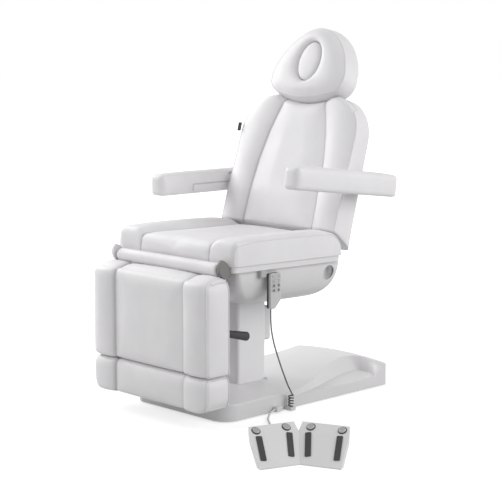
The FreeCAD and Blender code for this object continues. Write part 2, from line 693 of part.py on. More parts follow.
def seat_cushion():
    """Upholstered seat block, rounded down at the rear for the backrest to swing past."""
    z = (SEAT_BOTTOM + SOFT_GAP, SEAT_BOTTOM + SEAT_HEIGHT)
    x = SEAT_HALF_WIDTH
    block = box((-x, x), (SEAT_FRONT_Y, SEAT_REAR_Y), z)
    rear = [edge for edge in edges_at(block, "z", z[1]) if edge.BoundBox.YMin > SEAT_REAR_Y - 1]
    block = block.makeFillet(SEAT_REAR_ROUND, rear)
    front = [edge for edge in upright_edges(block) if edge.Vertexes[0].Y < SEAT_FRONT_Y + 1]
    block = block.makeFillet(SEAT_CORNER, front)
    lip = [edge for edge in edges_at(block, "z", z[1]) if edge.BoundBox.YMin < SEAT_FRONT_Y + SEAT_CORNER + 1
           and edge.BoundBox.YMax < SEAT_FRONT_Y + SEAT_CORNER + 1]
    return sloped(block.makeFillet(SEAT_EDGE_ROUND, lip))


def drawn_in(limits, inset):
    """Both ends of a stretch, moved inwards."""
    return (limits[0] + inset, limits[1] - inset)


def shell_loft(inset, bottom, top):
    """Boat form of the under-seat shell, drawn in by an inset."""
    sections = [
        round_rect(SHELL_BOTTOM_HALF - inset, drawn_in(SHELL_BOTTOM_Y, inset), SHELL_CORNER - inset, bottom),
        round_rect(SHELL_MIDDLE_HALF - inset, drawn_in(SHELL_MIDDLE_Y, inset), SHELL_MIDDLE_CORNER - inset,
                   SHELL_MIDDLE),
        round_rect(SHELL_TOP_HALF - inset, drawn_in(SHELL_TOP_Y, inset), SHELL_TOP_CORNER - inset, top),
    ]
    return Part.makeLoft(sections, True, False)


def under_seat_shell():
    """White moulded shell under the seat, open on top and cut out for the column."""
    top = SEAT_BOTTOM - PAN_FLOOR - SOFT_GAP
    shell = shell_loft(0, SHELL_BOTTOM, top)
    shell = shell.cut(shell_loft(SHELL_WALL, SHELL_BOTTOM + SHELL_WALL, top))
    shell = shell.cut(pan_ring(SOFT_GAP))
    rear = COLUMN_Y + COLUMN_DEPTH / 2
    well = (COLUMN_Y - COLUMN_DEPTH / 2 - 12, rear + 92)
    shell = shell.cut(box(around(0, COLUMN_WIDTH / 2 + 10), well, (SHELL_BOTTOM - 88, SHELL_MIDDLE - 10)))
    for side in (1, -1):
        shell = shell.cut(box(around(side * RAIL_X, RAIL_WIDTH / 2 + 3), (-420, -360), (480, 560)))
        shell = shell.cut(box(around(side * RAIL_X, RAIL_WIDTH / 2 + 3), (70, 130), (480, 560)))
        hole = (SIDE_HOLE_Y, SIDE_HOLE_Z)
        shell = shell.cut(bar(SIDE_HOLE_RADIUS, (side * 200,) + hole, (side * 320,) + hole))
    shell = shell.cut(box(around(ACTUATOR_X, ACTUATOR_SLOT), (-420, -300), (415, 505)))
    shell = shell.cut(box(around(-ACTUATOR_X, ACTUATOR_SLOT), (60, 130), (455, 560)))
    return sloped(shell)


def control_box():
    """Control electronics on the floor of the shell, beside the column."""
    bottom = SHELL_BOTTOM + SHELL_WALL + SOFT_GAP
    case = rounded_block((97, 138), (-206, -86), (bottom, bottom + 38), 5)
    return sloped(case.makeFillet(3, edges_at(case, "z", bottom + 38)))


def front_roll():
    """Padded roll on the leg-rest hinge tube, filling the gap in front of the seat."""
    half = ROLL_HALF_LENGTH
    roll = hinge_bar(ROLL_RADIUS, -half, half)
    roll = roll.makeFillet(4, edges_at(roll, "x", half) + edges_at(roll, "x", -half))
    roll = roll.cut(hinge_bar(ROLL_CORE_RADIUS + SOFT_GAP, -half - 1, half + 1))
    y, z = (LEG_HINGE_Y - 4, LEG_HINGE_Y + 40), (LEG_HINGE_Z - 47, LEG_HINGE_Z + 1)
    for side in (1, -1):
        roll = roll.cut(box(around(side * RAIL_X, 5), y, z))
    return roll


def roll_end_caps():
    """Dark leaf-shaped caps over the ends of the leg-rest hinge."""
    tip_top, tip_low = (LEG_HINGE_Y - 13, LEG_HINGE_Z + 37), (LEG_HINGE_Y + 15, LEG_HINGE_Z - 30)
    bulge_front, bulge_rear = (LEG_HINGE_Y - 23, LEG_HINGE_Z - 5), (LEG_HINGE_Y + 20, LEG_HINGE_Z + 11)
    edges = []
    for first, middle, last in ((tip_top, bulge_front, tip_low), (tip_low, bulge_rear, tip_top)):
        edges.append(Part.Arc(*[Vector(CAP_INNER_X, y, z) for y, z in (first, middle, last)]).toShape())
    cap = Part.Face(Part.Wire(edges)).extrude(Vector(CAP_THICKNESS, 0, 0))
    return Part.makeCompound(pair(cap.makeFillet(3, edges_at(cap, "x", CAP_INNER_X + CAP_THICKNESS))))


# Leg rest, foot extension and its release lever

def leg_cushion():
    """Upholstered calf pad."""
    x = LEG_HALF_WIDTH
    block = rounded_block((-x, x), (LEG_FRONT_Y, LEG_REAR_Y), (LEG_BOTTOM, LEG_TOP), PAD_ROUND)
    return block


def foot_cushion():
    """Upholstered foot pad below the calf pad, with rounded lower corners."""
    x = LEG_HALF_WIDTH
    block = box((-x, x), (LEG_FRONT_Y, LEG_REAR_Y), (FOOT_BOTTOM, FOOT_TOP))
    lower = []
    for edge in block.Edges:
        along_y = edge.BoundBox.YLength > 1
        if along_y and edge.BoundBox.ZMax < FOOT_BOTTOM + 1:
            lower.append(edge)
    block = block.makeFillet(FOOT_CORNER, lower)
    return block.makeFillet(PAD_ROUND - 4, upright_edges(block))


PLATE_Y = (LEG_REAR_Y + SOFT_GAP, LEG_REAR_Y + SOFT_GAP + LEG_PLATE)
GUIDE_Y = PLATE_Y[1] + GUIDE_RADIUS - 0.4


def leg_frame():
    """Steel frame behind the calf pad: hinge ears, rod guides, crank and lever bracket."""
    inner_ear = ROLL_HALF_LENGTH + 3
    pieces = [box((-inner_ear - HINGE_EAR, inner_ear + HINGE_EAR), PLATE_Y, (215, 490))]
    for side in (1, -1):
        limits = sorted((side * inner_ear, side * (inner_ear + HINGE_EAR)))
        ear = [(PLATE_Y[0], LEG_TOP - 66), (PLATE_Y[1] + 11, LEG_TOP - 66), (PLATE_Y[1] + 11, LEG_TOP + 18),
               (LEG_HINGE_Y + 14, LEG_HINGE_Z), (LEG_HINGE_Y - 14, LEG_HINGE_Z),
               (LEG_HINGE_Y - 5, LEG_TOP + 6), (PLATE_Y[0], LEG_TOP + 1)]
        eye = hinge_bar(15, limits[0], limits[1])
        bore = hinge_bar(PIN_RADIUS + ROD_FIT, limits[0] - 1, limits[1] + 1)
        pieces.append(side_plate(ear, limits).fuse(eye).cut(bore))
        guide = bar(GUIDE_RADIUS, (side * GUIDE_X, GUIDE_Y, 225), (side * GUIDE_X, GUIDE_Y, 425))
        pieces.append(guide)
    crank = [(PLATE_Y[1] - 1, 468), (PLATE_Y[1] - 1, 418), (LEG_CRANK[0] + 4, 430), (LEG_CRANK[0] + 4, 454)]
    pieces += cheeks(crank, ACTUATOR_X, ACTUATOR_EYE, LEG_CRANK, 6)
    pieces.append(box((LEVER_X - 18, LEVER_X - 10), (PLATE_Y[1] - 1, LEVER_Y + 14), around(LEVER_Z, 18)))
    pieces.append(bar(5, (LEVER_X - 12, LEVER_Y, LEVER_Z), (LEVER_X + 12, LEVER_Y, LEVER_Z)))
    frame = joined(pieces)
    for side in (1, -1):
        guide = (side * GUIDE_X, GUIDE_Y)
        frame = frame.cut(bar(FOOT_ROD_RADIUS + ROD_FIT, guide + (200,), guide + (440,)))
    return frame


def foot_frame():
    """Two rods and a plate that carry the foot pad."""
    pieces = [box((-250, 250), PLATE_Y, (FOOT_BOTTOM + 16, FOOT_TOP - 6))]
    for side in (1, -1):
        x = side * GUIDE_X
        pieces.append(bar(FOOT_ROD_RADIUS, (x, GUIDE_Y, FOOT_BOTTOM + 30), (x, GUIDE_Y, 424)))
        pieces.append(box(around(x, 14), (PLATE_Y[1] - 1, GUIDE_Y + 2), (FOOT_BOTTOM + 30, FOOT_TOP - 10)))
    return joined(pieces)


LEVER_TIP = (LEVER_X, -312.0, 289.0)
LEVER_NECK = tuple(Vector(LEVER_X, LEVER_Y, LEVER_Z) * 0.74 + Vector(*LEVER_TIP) * 0.26)


def release_lever():
    """Steel lever that frees the foot extension."""
    hub = bar(12, (LEVER_X - 9, LEVER_Y, LEVER_Z), (LEVER_X + 9, LEVER_Y, LEVER_Z))
    arm = bar(5, (LEVER_X, LEVER_Y, LEVER_Z), LEVER_TIP)
    lever = joined([hub, arm])
    return lever.cut(bar(5 + ROD_FIT, (LEVER_X - 10, LEVER_Y, LEVER_Z), (LEVER_X + 13, LEVER_Y, LEVER_Z)))


def lever_grip():
    """Black rubber grip on the lever, fatter towards its end."""
    start, end = Vector(*LEVER_NECK), Vector(*LEVER_TIP)
    way = end - start
    way.normalize()
    body = Part.makeCone(12, 16, (end - start).Length + 6, start, way)
    body = body.makeFillet(4, [edge for edge in body.Edges if isinstance(edge.Curve, Part.Circle)])
    arm = Part.makeCylinder(5.02, (end - start).Length + 0.1, start - way * 0.1, way)
    return body.cut(arm)


# Backrest

def flipped(point):
    """The same point on the other side of the middle."""
    return Vector(-point.x, point.y, point.z)


def back_outline():
    """Closed outline of the back's front face: straight sides, round shoulders, dipped top."""
    half, low = BACK_HALF_WIDTH, back_local(BACK_HINGE_Y, BACK_HINGE_Z)[1] - 8
    radius = BACK_SHOULDER_RADIUS
    lean = radius * (1 - math.sqrt(0.5))
    shoulder = Vector(half - lean, 0, BACK_SHOULDER_H + radius - lean)
    top = Vector(half - radius, 0, BACK_SHOULDER_H + radius)
    foot_r, side_r = Vector(half, 0, low), Vector(half, 0, BACK_SHOULDER_H)
    return Part.Wire([
        Part.LineSegment(flipped(foot_r), foot_r).toShape(),
        Part.LineSegment(foot_r, side_r).toShape(),
        Part.Arc(side_r, shoulder, top).toShape(),
        Part.Arc(top, Vector(0, 0, BACK_DIP_H), flipped(top)).toShape(),
        Part.Arc(flipped(top), flipped(shoulder), flipped(side_r)).toShape(),
        Part.LineSegment(flipped(side_r), flipped(foot_r)).toShape(),
    ])


def back_side_view():
    """Block with the back's side view: a front that bends away, a cut-back foot and a sloped rear top."""
    x = -BACK_HALF_WIDTH - 50
    front = Part.BSplineCurve()
    front.interpolate([Vector(x, d, h) for d, h in BACK_FRONT])
    rest = [BACK_FRONT[-1], (BACK_DEPTH - 6, BACK_FRONT[-1][1]), (BACK_DEPTH + 1, 440), (BACK_DEPTH + 1, -40),
            (BACK_DEPTH - 7, -44), BACK_FRONT[0]]
    edges = [front.toShape()]
    for first, second in zip(rest, rest[1:]):
        edges.append(Part.LineSegment(Vector(x, *first), Vector(x, *second)).toShape())
    return Part.Face(Part.Wire(edges)).extrude(Vector(-2 * x, 0, 0))


def back_plan():
    """Block with the back's plan, its rear corners rounded."""
    block = box(around(0, BACK_HALF_WIDTH + 0.5), (-5, BACK_DEPTH + 0.5), (-90, 640))
    rear = [edge for edge in upright_edges(block) if edge.Vertexes[0].Y > 0]
    return block.makeFillet(BACK_REAR_ROUND, rear)


def back_cushion():
    """Upholstered back, hollowed behind for its frame and cut back over the seat's rear edge."""
    body = Part.Face(back_outline()).extrude(Vector(0, BACK_DEPTH, 0))
    body = body.common(back_side_view()).common(back_plan())
    pocket = (BACK_DEPTH - POCKET_DEPTH, BACK_DEPTH + 5)
    half = POCKET_HALF_WIDTH
    body = body.cut(box((-half, half), pocket, (-12, 452)))
    body = body.cut(box(around(0, POST_X + 22), pocket, (400, 520)))
    body = body.cut(box(around(-ACTUATOR_X, ACTUATOR_SLOT), (pocket[0] - 6, pocket[1]), (-90, 10)))
    for side in (1, -1):
        x = sorted((side * (RAIL_X - 18), side * (RAIL_X + 12)))
        body = body.cut(box(x, (54, pocket[1]), (-90, 6)))
    pivot = back_local(ARM_PIVOT_Y, ARM_PIVOT_Z)
    body = body.cut(bar(ARM_PIN_RADIUS + 2, (-400,) + pivot, (400,) + pivot))
    return leaned(body)


def back_frame():
    """Steel back frame: side tubes, cross tubes, hinge arms, crank, post guides and arm studs."""
    d = (BACK_DEPTH - BACK_TUBE - SOFT_GAP, BACK_DEPTH - SOFT_GAP)
    hinge = back_local(BACK_HINGE_Y, BACK_HINGE_Z)
    crank = back_local(*BACK_CRANK)
    pivot = back_local(ARM_PIVOT_Y, ARM_PIVOT_Z)
    pieces = [box((-BACK_TUBE_X, BACK_TUBE_X), d, around(h, 13)) for h in (12, pivot[1], 420)]
    pieces += [box(around(side * BACK_TUBE_X, 12), d, (-8, 433)) for side in (1, -1)]
    for side in (1, -1):
        limits = sorted((side * (RAIL_X - 14), side * (RAIL_X - 6)))
        arm = [(d[0], 20), (d[0], -6), (hinge[0] - 10, hinge[1] + 12), (hinge[0], hinge[1] - HINGE_EYE),
               (d[1] - 4, -28), (d[1], 20)]
        eye = bar(HINGE_EYE, (limits[0],) + hinge, (limits[1],) + hinge)
        bore = bar(PIN_RADIUS + ROD_FIT, (limits[0] - 1,) + hinge, (limits[1] + 1,) + hinge)
        pieces.append(side_plate(arm, limits).fuse(eye).cut(bore))
        stud = side * (ARM_INNER_X + ARM_PLATE)
        pieces.append(bar(ARM_PIN_RADIUS, (side * BACK_TUBE_X,) + pivot, (stud,) + pivot))
        post = (side * POST_X, POST_D)
        pieces.append(bar(POST_RADIUS + 3.5, post + POST_GUIDE_H[:1], post + POST_GUIDE_H[1:]))
    crank_plate = [(d[0] + 1, 20), (d[0] + 1, -34), (crank[0] - 11, crank[1] - 6),
                   (crank[0] + 10, crank[1] + 8), (d[1], -33), (d[1], 20)]
    pieces += cheeks(crank_plate, -ACTUATOR_X, ACTUATOR_EYE, crank, 6)
    frame = joined(pieces)
    for side in (1, -1):
        post = (side * POST_X, POST_D)
        bore = (post + (POST_GUIDE_H[0] - 80,), post + (POST_GUIDE_H[1] + 20,))
        frame = frame.cut(bar(POST_RADIUS + ROD_FIT, *bore))
    return leaned(frame)


def back_board():
    """Flat rear cover of the backrest."""
    d = (BACK_DEPTH + SOFT_GAP / 2, BACK_DEPTH + SOFT_GAP / 2 + BOARD_THICKNESS)
    board = box((-BOARD_HALF_WIDTH, BOARD_HALF_WIDTH), d, BOARD_H)
    across = [edge for edge in board.Edges if edge.BoundBox.YLength > 1]
    board = board.makeFillet(60, [edge for edge in across if edge.Vertexes[0].Z > 0])
    low = [edge for edge in board.Edges if edge.BoundBox.YLength > 1 and edge.BoundBox.ZMax < BOARD_H[0] + 8]
    board = board.makeFillet(20, low)
    return leaned(board.makeFillet(3, edges_at(board, "y", d[1])))


def back_tab():
    """Small plain black fabric tab sewn into the far side seam."""
    return leaned(box((-BACK_HALF_WIDTH - 16, -BACK_HALF_WIDTH - SOFT_GAP), (22, 25), (352, 384)))


# Headrest

def oval(half_width, half_height, d, h):
    """Upright oval block of the face opening."""
    ellipse = Part.Ellipse(Vector(0, 0, 0), half_height, half_width)
    face = Part.Face(Part.Wire([ellipse.toShape()]))
    face.rotate(Vector(0, 0, 0), Vector(0, 0, 1), 90)
    face.rotate(Vector(0, 0, 0), Vector(1, 0, 0), 90)
    face.translate(Vector(0, d[0], h))
    return face.extrude(Vector(0, d[1] - d[0], 0))


def head_outline():
    """Closed outline of the headrest: a rounded triangle with a bowed lower edge."""
    corner, side, crown = Vector(168, 0, 516), Vector(183, 0, 556), Vector(62, 0, 731)
    edge_mid, flank = Vector(182, 0, 533), Vector(151, 0, 650)
    return Part.Wire([
        Part.Arc(flipped(corner), Vector(0, 0, HEAD_BOTTOM_H), corner).toShape(),
        Part.Arc(corner, edge_mid, side).toShape(),
        Part.Arc(side, flank, crown).toShape(),
        Part.Arc(crown, Vector(0, 0, HEAD_TOP_H), flipped(crown)).toShape(),
        Part.Arc(flipped(crown), flipped(flank), flipped(side)).toShape(),
        Part.Arc(flipped(side), flipped(edge_mid), flipped(corner)).toShape(),
    ])


HEAD_REAR_D = HEAD_FRONT_D + HEAD_DEPTH


def tipped(shape):
    """A headrest piece drawn in line with the back, leaned further back about the headrest's hinge."""
    turned = shape.copy()
    turned.rotate(Vector(0, HEAD_PIN_D, HEAD_PIN_H), Vector(1, 0, 0), -HEAD_LEAN)
    return leaned(turned)


def headrest_cushion():
    """Padded headrest with an oval face opening right through."""
    body = Part.Face(head_outline()).extrude(Vector(0, HEAD_DEPTH, 0))
    body.translate(Vector(0, HEAD_FRONT_D, 0))
    d = (HEAD_FRONT_D - 5, HEAD_REAR_D + 5)
    hole = oval(PLUG_HALF_WIDTH + PLUG_FIT, PLUG_HALF_HEIGHT + PLUG_FIT, d, PLUG_H)
    return tipped(body.cut(hole))


def face_plug():
    """Oval cushion that closes the face opening and pulls out to the front."""
    return tipped(oval(PLUG_HALF_WIDTH, PLUG_HALF_HEIGHT, (HEAD_FRONT_D + 2, HEAD_REAR_D - 8), PLUG_H))


def head_pin(radius, x):
    """Round bar along the headrest's hinge, between two stations across."""
    return bar(radius, (x[0], HEAD_PIN_D, HEAD_PIN_H), (x[1], HEAD_PIN_D, HEAD_PIN_H))


def head_board():
    """Board behind the headrest, open at the face hole, with the hinge knuckles and pin."""
    d = (HEAD_REAR_D + SOFT_GAP, HEAD_REAR_D + SOFT_GAP + BOARD_THICKNESS)
    plate = box((-112, 112), d, (HEAD_PIN_H - 28, HEAD_PIN_H + 130))
    plate = plate.makeFillet(24, [edge for edge in plate.Edges if edge.BoundBox.YLength > 1])
    plate = plate.cut(oval(PLUG_HALF_WIDTH + 6, PLUG_HALF_HEIGHT + 6, (d[0] - 1, d[1] + 1), PLUG_H))
    pieces = [plate]
    for x in ((64, 74), (-74, -64)):
        knuckle = [(d[0] + 1, HEAD_PIN_H + 24), (d[0] + 1, HEAD_PIN_H - 11), (HEAD_PIN_D, HEAD_PIN_H - 9),
                   (HEAD_PIN_D, HEAD_PIN_H + 9)]
        pieces.append(side_plate(knuckle, x).fuse(head_pin(9, x)))
    pieces.append(head_pin(HEAD_PIN_RADIUS, (-74, 74)))
    return tipped(joined(pieces))


def head_posts():
    """Two posts that slide in the back frame, with the yoke that carries the headrest."""
    yoke = (HEAD_PIN_H - YOKE_DROP - YOKE_HEIGHT, HEAD_PIN_H - YOKE_DROP)
    foot = POST_GUIDE_H[0] + 70
    pieces = [box((-POST_X - 12, POST_X + 12), (POST_D - 9, HEAD_PIN_D + 9), yoke)]
    for side in (1, -1):
        pieces.append(bar(POST_RADIUS, (side * POST_X, POST_D, foot), (side * POST_X, POST_D, yoke[0] + 4)))
        x = sorted((side * 52, side * 62))
        ear = [(HEAD_PIN_D - 10, yoke[1] - 1), (HEAD_PIN_D + 9, yoke[1] - 1),
               (HEAD_PIN_D + 9, HEAD_PIN_H), (HEAD_PIN_D - 9, HEAD_PIN_H)]
        pieces.append(side_plate(ear, x).fuse(head_pin(9, x)))
    return leaned(joined(pieces).cut(head_pin(HEAD_PIN_RADIUS + ROD_FIT, (-80, 80))))


# Armrests

def raised_arm(shape, side):
    """An armrest piece set front-up by its own small angle, and mirrored for the far side."""
    turned = shape.copy()
    rise = NEAR_ARM_RISE if side > 0 else FAR_ARM_RISE
    turned.rotate(Vector(0, ARM_PIVOT_Y, ARM_PIVOT_Z), Vector(1, 0, 0), -rise)
    return turned if side > 0 else mirrored(turned)


def arm_pad(side):
    """Upholstered arm block with rounded ends."""
    x = (ARM_INNER_X, ARM_INNER_X + ARM_WIDTH)
    low = ARM_BOTTOM + (NEAR_ARM_LIFT if side > 0 else FAR_ARM_LIFT)
    block = box(x, (ARM_FRONT_Y, ARM_REAR_Y), (low, low + ARM_HEIGHT))
    block = block.makeFillet(ARM_ROUND, upright_edges(block))
    block = block.makeFillet(ARM_ROUND - 4, edges_at(block, "z", low + ARM_HEIGHT))
    slot_x = (x[0] - 1, x[0] + ARM_PLATE + 2 * SOFT_GAP)
    slot = box(slot_x, (ARM_PLATE_FRONT - 1, ARM_PIVOT_Y + 22), around(ARM_PIVOT_Z, 21))
    return raised_arm(block.cut(slot), side)


def arm_bracket(side):
    """Flat steel arm inside the pad's inner face, with the hub that turns on the back frame's stud."""
    x = (ARM_INNER_X + SOFT_GAP, ARM_INNER_X + SOFT_GAP + ARM_PLATE)
    plate = box(x, (ARM_PLATE_FRONT, ARM_PIVOT_Y + 20), around(ARM_PIVOT_Z, 20))
    plate = plate.makeFillet(14, [edge for edge in plate.Edges if edge.BoundBox.XLength > 1])
    inner = BACK_HALF_WIDTH + 2
    pivot = (ARM_PIVOT_Y, ARM_PIVOT_Z)
    hub = bar(20, (inner,) + pivot, (x[1],) + pivot)
    bore = bar(ARM_PIN_RADIUS + ROD_FIT, (inner - 1,) + pivot, (x[1] + 1,) + pivot)
    return raised_arm(joined([plate, hub]).cut(bore), side)


# Actuators

def aimed(shape, x, target):
    """A piece drawn along +Y from the origin, set at a motor pivot and pointed at its crank pin."""
    angle = math.degrees(math.atan2(target[1] - MOTOR_PIVOT_Z, target[0] - MOTOR_PIVOT_Y))
    return placed(shape, Placement(Vector(x, MOTOR_PIVOT_Y, MOTOR_PIVOT_Z), Rotation(Vector(1, 0, 0), angle)))


def actuator_body(reach):
    """Motor, gearbox and guide tube of a linear actuator."""
    eye = bar(ACTUATOR_EYE, (-11, 0, 0), (11, 0, 0)).cut(bar(6 + ROD_FIT, (-12, 0, 0), (12, 0, 0)))
    gearbox = box((-ACTUATOR_RADIUS, ACTUATOR_RADIUS), (21, 68), (-ACTUATOR_RADIUS, ACTUATOR_RADIUS))
    gearbox = gearbox.makeFillet(6, [edge for edge in gearbox.Edges if edge.BoundBox.YLength > 1])
    neck = box((-8, 8), (9, 22), (-11, 11))
    tube = bar(16, (0, 67, 0), (0, reach, 0))
    bore = bar(ACTUATOR_ROD + SOFT_GAP, (0, 50, 0), (0, reach + 1, 0))
    return joined([eye, neck, gearbox, tube]).cut(bore)


def actuator_rod(start, length):
    """Sliding rod of an actuator with its end eye."""
    rod = bar(ACTUATOR_ROD, (0, start, 0), (0, length, 0))
    eye = bar(ACTUATOR_EYE, (-10, length, 0), (10, length, 0))
    return joined([rod, eye]).cut(bar(6.5, (-11, length, 0), (11, length, 0)))


def span(target):
    """Distance from an actuator's pivot to its crank pin."""
    return math.hypot(target[0] - MOTOR_PIVOT_Y, target[1] - MOTOR_PIVOT_Z)


def leg_motor():
    """Actuator body that raises the leg rest."""
    return aimed(actuator_body(205), ACTUATOR_X, LEG_CRANK)


def leg_rod():
    """Actuator rod that pushes the leg rest's crank."""
    return aimed(actuator_rod(70, span(LEG_CRANK)), ACTUATOR_X, LEG_CRANK)


def back_motor():
    """Actuator body that lowers the backrest."""
    return aimed(actuator_body(215), -ACTUATOR_X, BACK_CRANK)


def back_rod():
    """Actuator rod that pulls the backrest's crank."""
    return aimed(actuator_rod(150, span(BACK_CRANK)), -ACTUATOR_X, BACK_CRANK)


# Hand control

KEY_CENTRE_Y = sum(HAND_Y) / 2


def hand_control_case():
    """Slim hand control, tapered to its cord, with pockets for the rocker keys."""
    outline = [(HAND_Y[0], HAND_Z[1]), (HAND_Y[1], HAND_Z[1]), (HAND_Y[1], HAND_SHOULDER_Z),
               (HAND_Y[0] + 22, HAND_Z[0]), (HAND_Y[0], HAND_Z[0])]
    case = side_plate(outline, HAND_X)
    case = case.makeFillet(HAND_ROUND, [edge for edge in case.Edges if edge.BoundBox.XLength > 1])
    case = case.makeFillet(2.5, edges_at(case, "x", HAND_X[1]))
    half = KEY_LENGTH / 2 + KEY_FIT
    for z in KEY_ROWS_Z:
        x = (HAND_X[1] - KEY_POCKET, HAND_X[1] + 5)
        case = case.cut(box(x, around(KEY_CENTRE_Y, half), around(z, KEY_HEIGHT / 2 + KEY_FIT)))
    return case


def hand_key(z):
    """Rocker key of the hand control: one end lowers, the other raises."""
    x = (HAND_X[1] - KEY_POCKET + 2, HAND_X[1] + KEY_PROUD)
    key = box(x, around(KEY_CENTRE_Y, KEY_LENGTH / 2), around(z, KEY_HEIGHT / 2))
    return key.makeFillet(1.2, edges_at(key, "x", x[1]))


def hand_control_hook():
    """Black hook under the seat pan that the hand control hangs on."""
    rim = SEAT_BOTTOM - PAN_HEIGHT
    stem = box((289, 302), (HAND_Y[0] - 34, HAND_Y[0] - 10), (500, rim - 3.2))
    arm = box((289, HAND_X[0] - SOFT_GAP), (HAND_Y[0] - 34, HAND_Y[0] + 34), (496, 508))
    return joined([stem, arm])


# Foot control

def pedal_place():
    """Frame of the right half of the foot control: s outwards, a away from the user, z up."""
    return Placement(Vector(PEDAL_X, PEDAL_Y, 0), Rotation(Vector(0, 0, 1), PEDAL_YAW - PEDAL_BEND))


def both_pedals(shape):
    """A piece of the right half, and its mirror image in the left half."""
    right = placed(shape, pedal_place())
    yaw = math.radians(PEDAL_YAW)
    return [right.mirror(Vector(PEDAL_X, PEDAL_Y, 0), Vector(math.cos(yaw), math.sin(yaw), 0)), right]


FACE_A = PEDAL_FACE * math.cos(math.radians(PEDAL_FACE_SLOPE))
FACE_Z = PEDAL_LIP + PEDAL_FACE * math.sin(math.radians(PEDAL_FACE_SLOPE))
STRIP_A = FACE_A + PEDAL_STRIP * math.cos(math.radians(PEDAL_STRIP_SLOPE))
STRIP_Z = FACE_Z + PEDAL_STRIP * math.sin(math.radians(PEDAL_STRIP_SLOPE))


def on_strip(station):
    """Placement on the button strip, its Z along the strip's normal."""
    middle = Vector(station, (FACE_A + STRIP_A) / 2, (FACE_Z + STRIP_Z) / 2)
    return Placement(middle, Rotation(Vector(1, 0, 0), PEDAL_STRIP_SLOPE))


def foot_control_case():
    """Wedge housing of the foot control, its two halves bent towards the user."""
    slant = math.tan(math.radians(PEDAL_BEND))
    outline = [(0, 0), (PEDAL_WIDTH, 0), (PEDAL_WIDTH - 5, FACE_A), (PEDAL_WIDTH - 14, STRIP_A),
               (-slant * FACE_A + 2, STRIP_A), (-slant * FACE_A, FACE_A)]
    corners = [Vector(s, a, 0) for s, a in outline]
    block = Part.Face(Part.makePolygon(corners + corners[:1])).extrude(Vector(0, 0, 2 * STRIP_Z))
    profile = [(0, 0), (0, PEDAL_LIP), (FACE_A, FACE_Z), (STRIP_A, STRIP_Z), (STRIP_A + 1, STRIP_Z - 1),
               (STRIP_A + 1, 0)]
    half = block.common(side_plate(profile, (-200, 200)))
    under = math.radians((PEDAL_FACE_SLOPE + PEDAL_STRIP_SLOPE) / 2)
    bend = (FACE_A + PEDAL_PLATE * math.sin(under), FACE_Z - PEDAL_PLATE * math.cos(under))
    end = STRIP_A + 5
    hollow = [(bend[0] - (bend[1] + 1) / math.tan(math.radians(PEDAL_FACE_SLOPE)), -1), bend,
              (end, bend[1] + (end - bend[0]) * math.tan(math.radians(PEDAL_STRIP_SLOPE))), (end, -1)]
    half = half.cut(side_plate(hollow, (PEDAL_SUPPORT, 200)))
    for station in BUTTON_STATIONS:
        well = Part.makeCylinder(BUTTON_RADIUS + BUTTON_FIT, BUTTON_DEPTH + 20, Vector(0, 0, -BUTTON_DEPTH))
        half = half.cut(placed(well, on_strip(station)))
    return joined(both_pedals(half))


def foot_button(index):
    """Silver push button of the foot control."""
    station = BUTTON_STATIONS[index % 2]
    body = Part.makeCylinder(BUTTON_RADIUS, BUTTON_DEPTH + BUTTON_PROUD - 5, Vector(0, 0, 5 - BUTTON_DEPTH))
    body = body.makeFillet(3, edges_at(body, "z", BUTTON_PROUD))
    buttons = both_pedals(placed(body, on_strip(station)))
    return buttons[index // 2]


def foot_control_strips():
    """Four black rubber treads on the faces of the foot control."""
    treads = []
    for top, bottom in ((-5.0, 19.0), (101.0, 114.0)):
        tread = box(around(0, TREAD_WIDTH / 2), (-TREAD_LENGTH, 0), (0, TREAD_THICKNESS))
        tread = tread.makeFillet(3, upright_edges(tread))
        lean = math.degrees(math.atan2(bottom - top, TREAD_LENGTH))
        tread.rotate(Vector(0, 0, 0), Vector(0, 0, 1), lean)
        face = Placement(Vector(top, FACE_A - 3, FACE_Z - 3 * math.tan(math.radians(PEDAL_FACE_SLOPE))),
                         Rotation(Vector(1, 0, 0), PEDAL_FACE_SLOPE))
        treads += both_pedals(placed(tread, face))
    return Part.makeCompound(treads)


# Cords

def cord(points, diameter):
    """Tube along straight runs joined by arcs as large as the runs allow."""
    route = [Vector(*point) for point in points]
    edges, start, radii = [], route[0], []
    for before, corner, after in zip(route, route[1:], route[2:]):
        into, out = (corner - before), (after - corner)
        turn = into.getAngle(out)
        cut = 0.45 * min(into.Length, out.Length)
        radii.append(round(cut / math.tan(turn / 2)))
        into.normalize()
        out.normalize()
        first, last = corner - into * cut, corner + out * cut
        bisector = out - into
        bisector.normalize()
        radius = cut / math.tan(turn / 2)
        middle = corner + bisector * (radius / math.cos(turn / 2) - radius)
        edges += [Part.LineSegment(start, first).toShape(), Part.Arc(first, middle, last).toShape()]
        start = last
    edges.append(Part.LineSegment(start, route[-1]).toShape())
    path = Part.Wire(edges)
    ring = Part.Wire([Part.Circle(route[0], route[1] - route[0], diameter / 2).toShape()])
    tube = path.makePipeShell([ring], True, True)
    ratio = tube.Volume / (math.pi * diameter ** 2 / 4 * path.Length)
    print("cord length", round(path.Length), "volume ratio", round(ratio, 3), "radii", radii)
    return tube


def hand_cord():
    """Straight part of the hand control's cord, from its case to the curl beside the base."""
    return cord(HAND_CORD_ROUTE, HAND_CORD_DIAMETER)


def hand_cord_curl():
    """Outer form of the curled end of the hand control's cord."""
    x, y = HAND_CORD_ROUTE[-1][:2]
    return bar(CURL_DIAMETER / 2, (x, y, CURL_BOTTOM_Z), (x, y, CURL_TOP_Z))


def foot_cord():
    """Cord from the base along the floor to the back of the foot control."""
    return cord(FOOT_CORD_ROUTE, FOOT_CORD_DIAMETER)


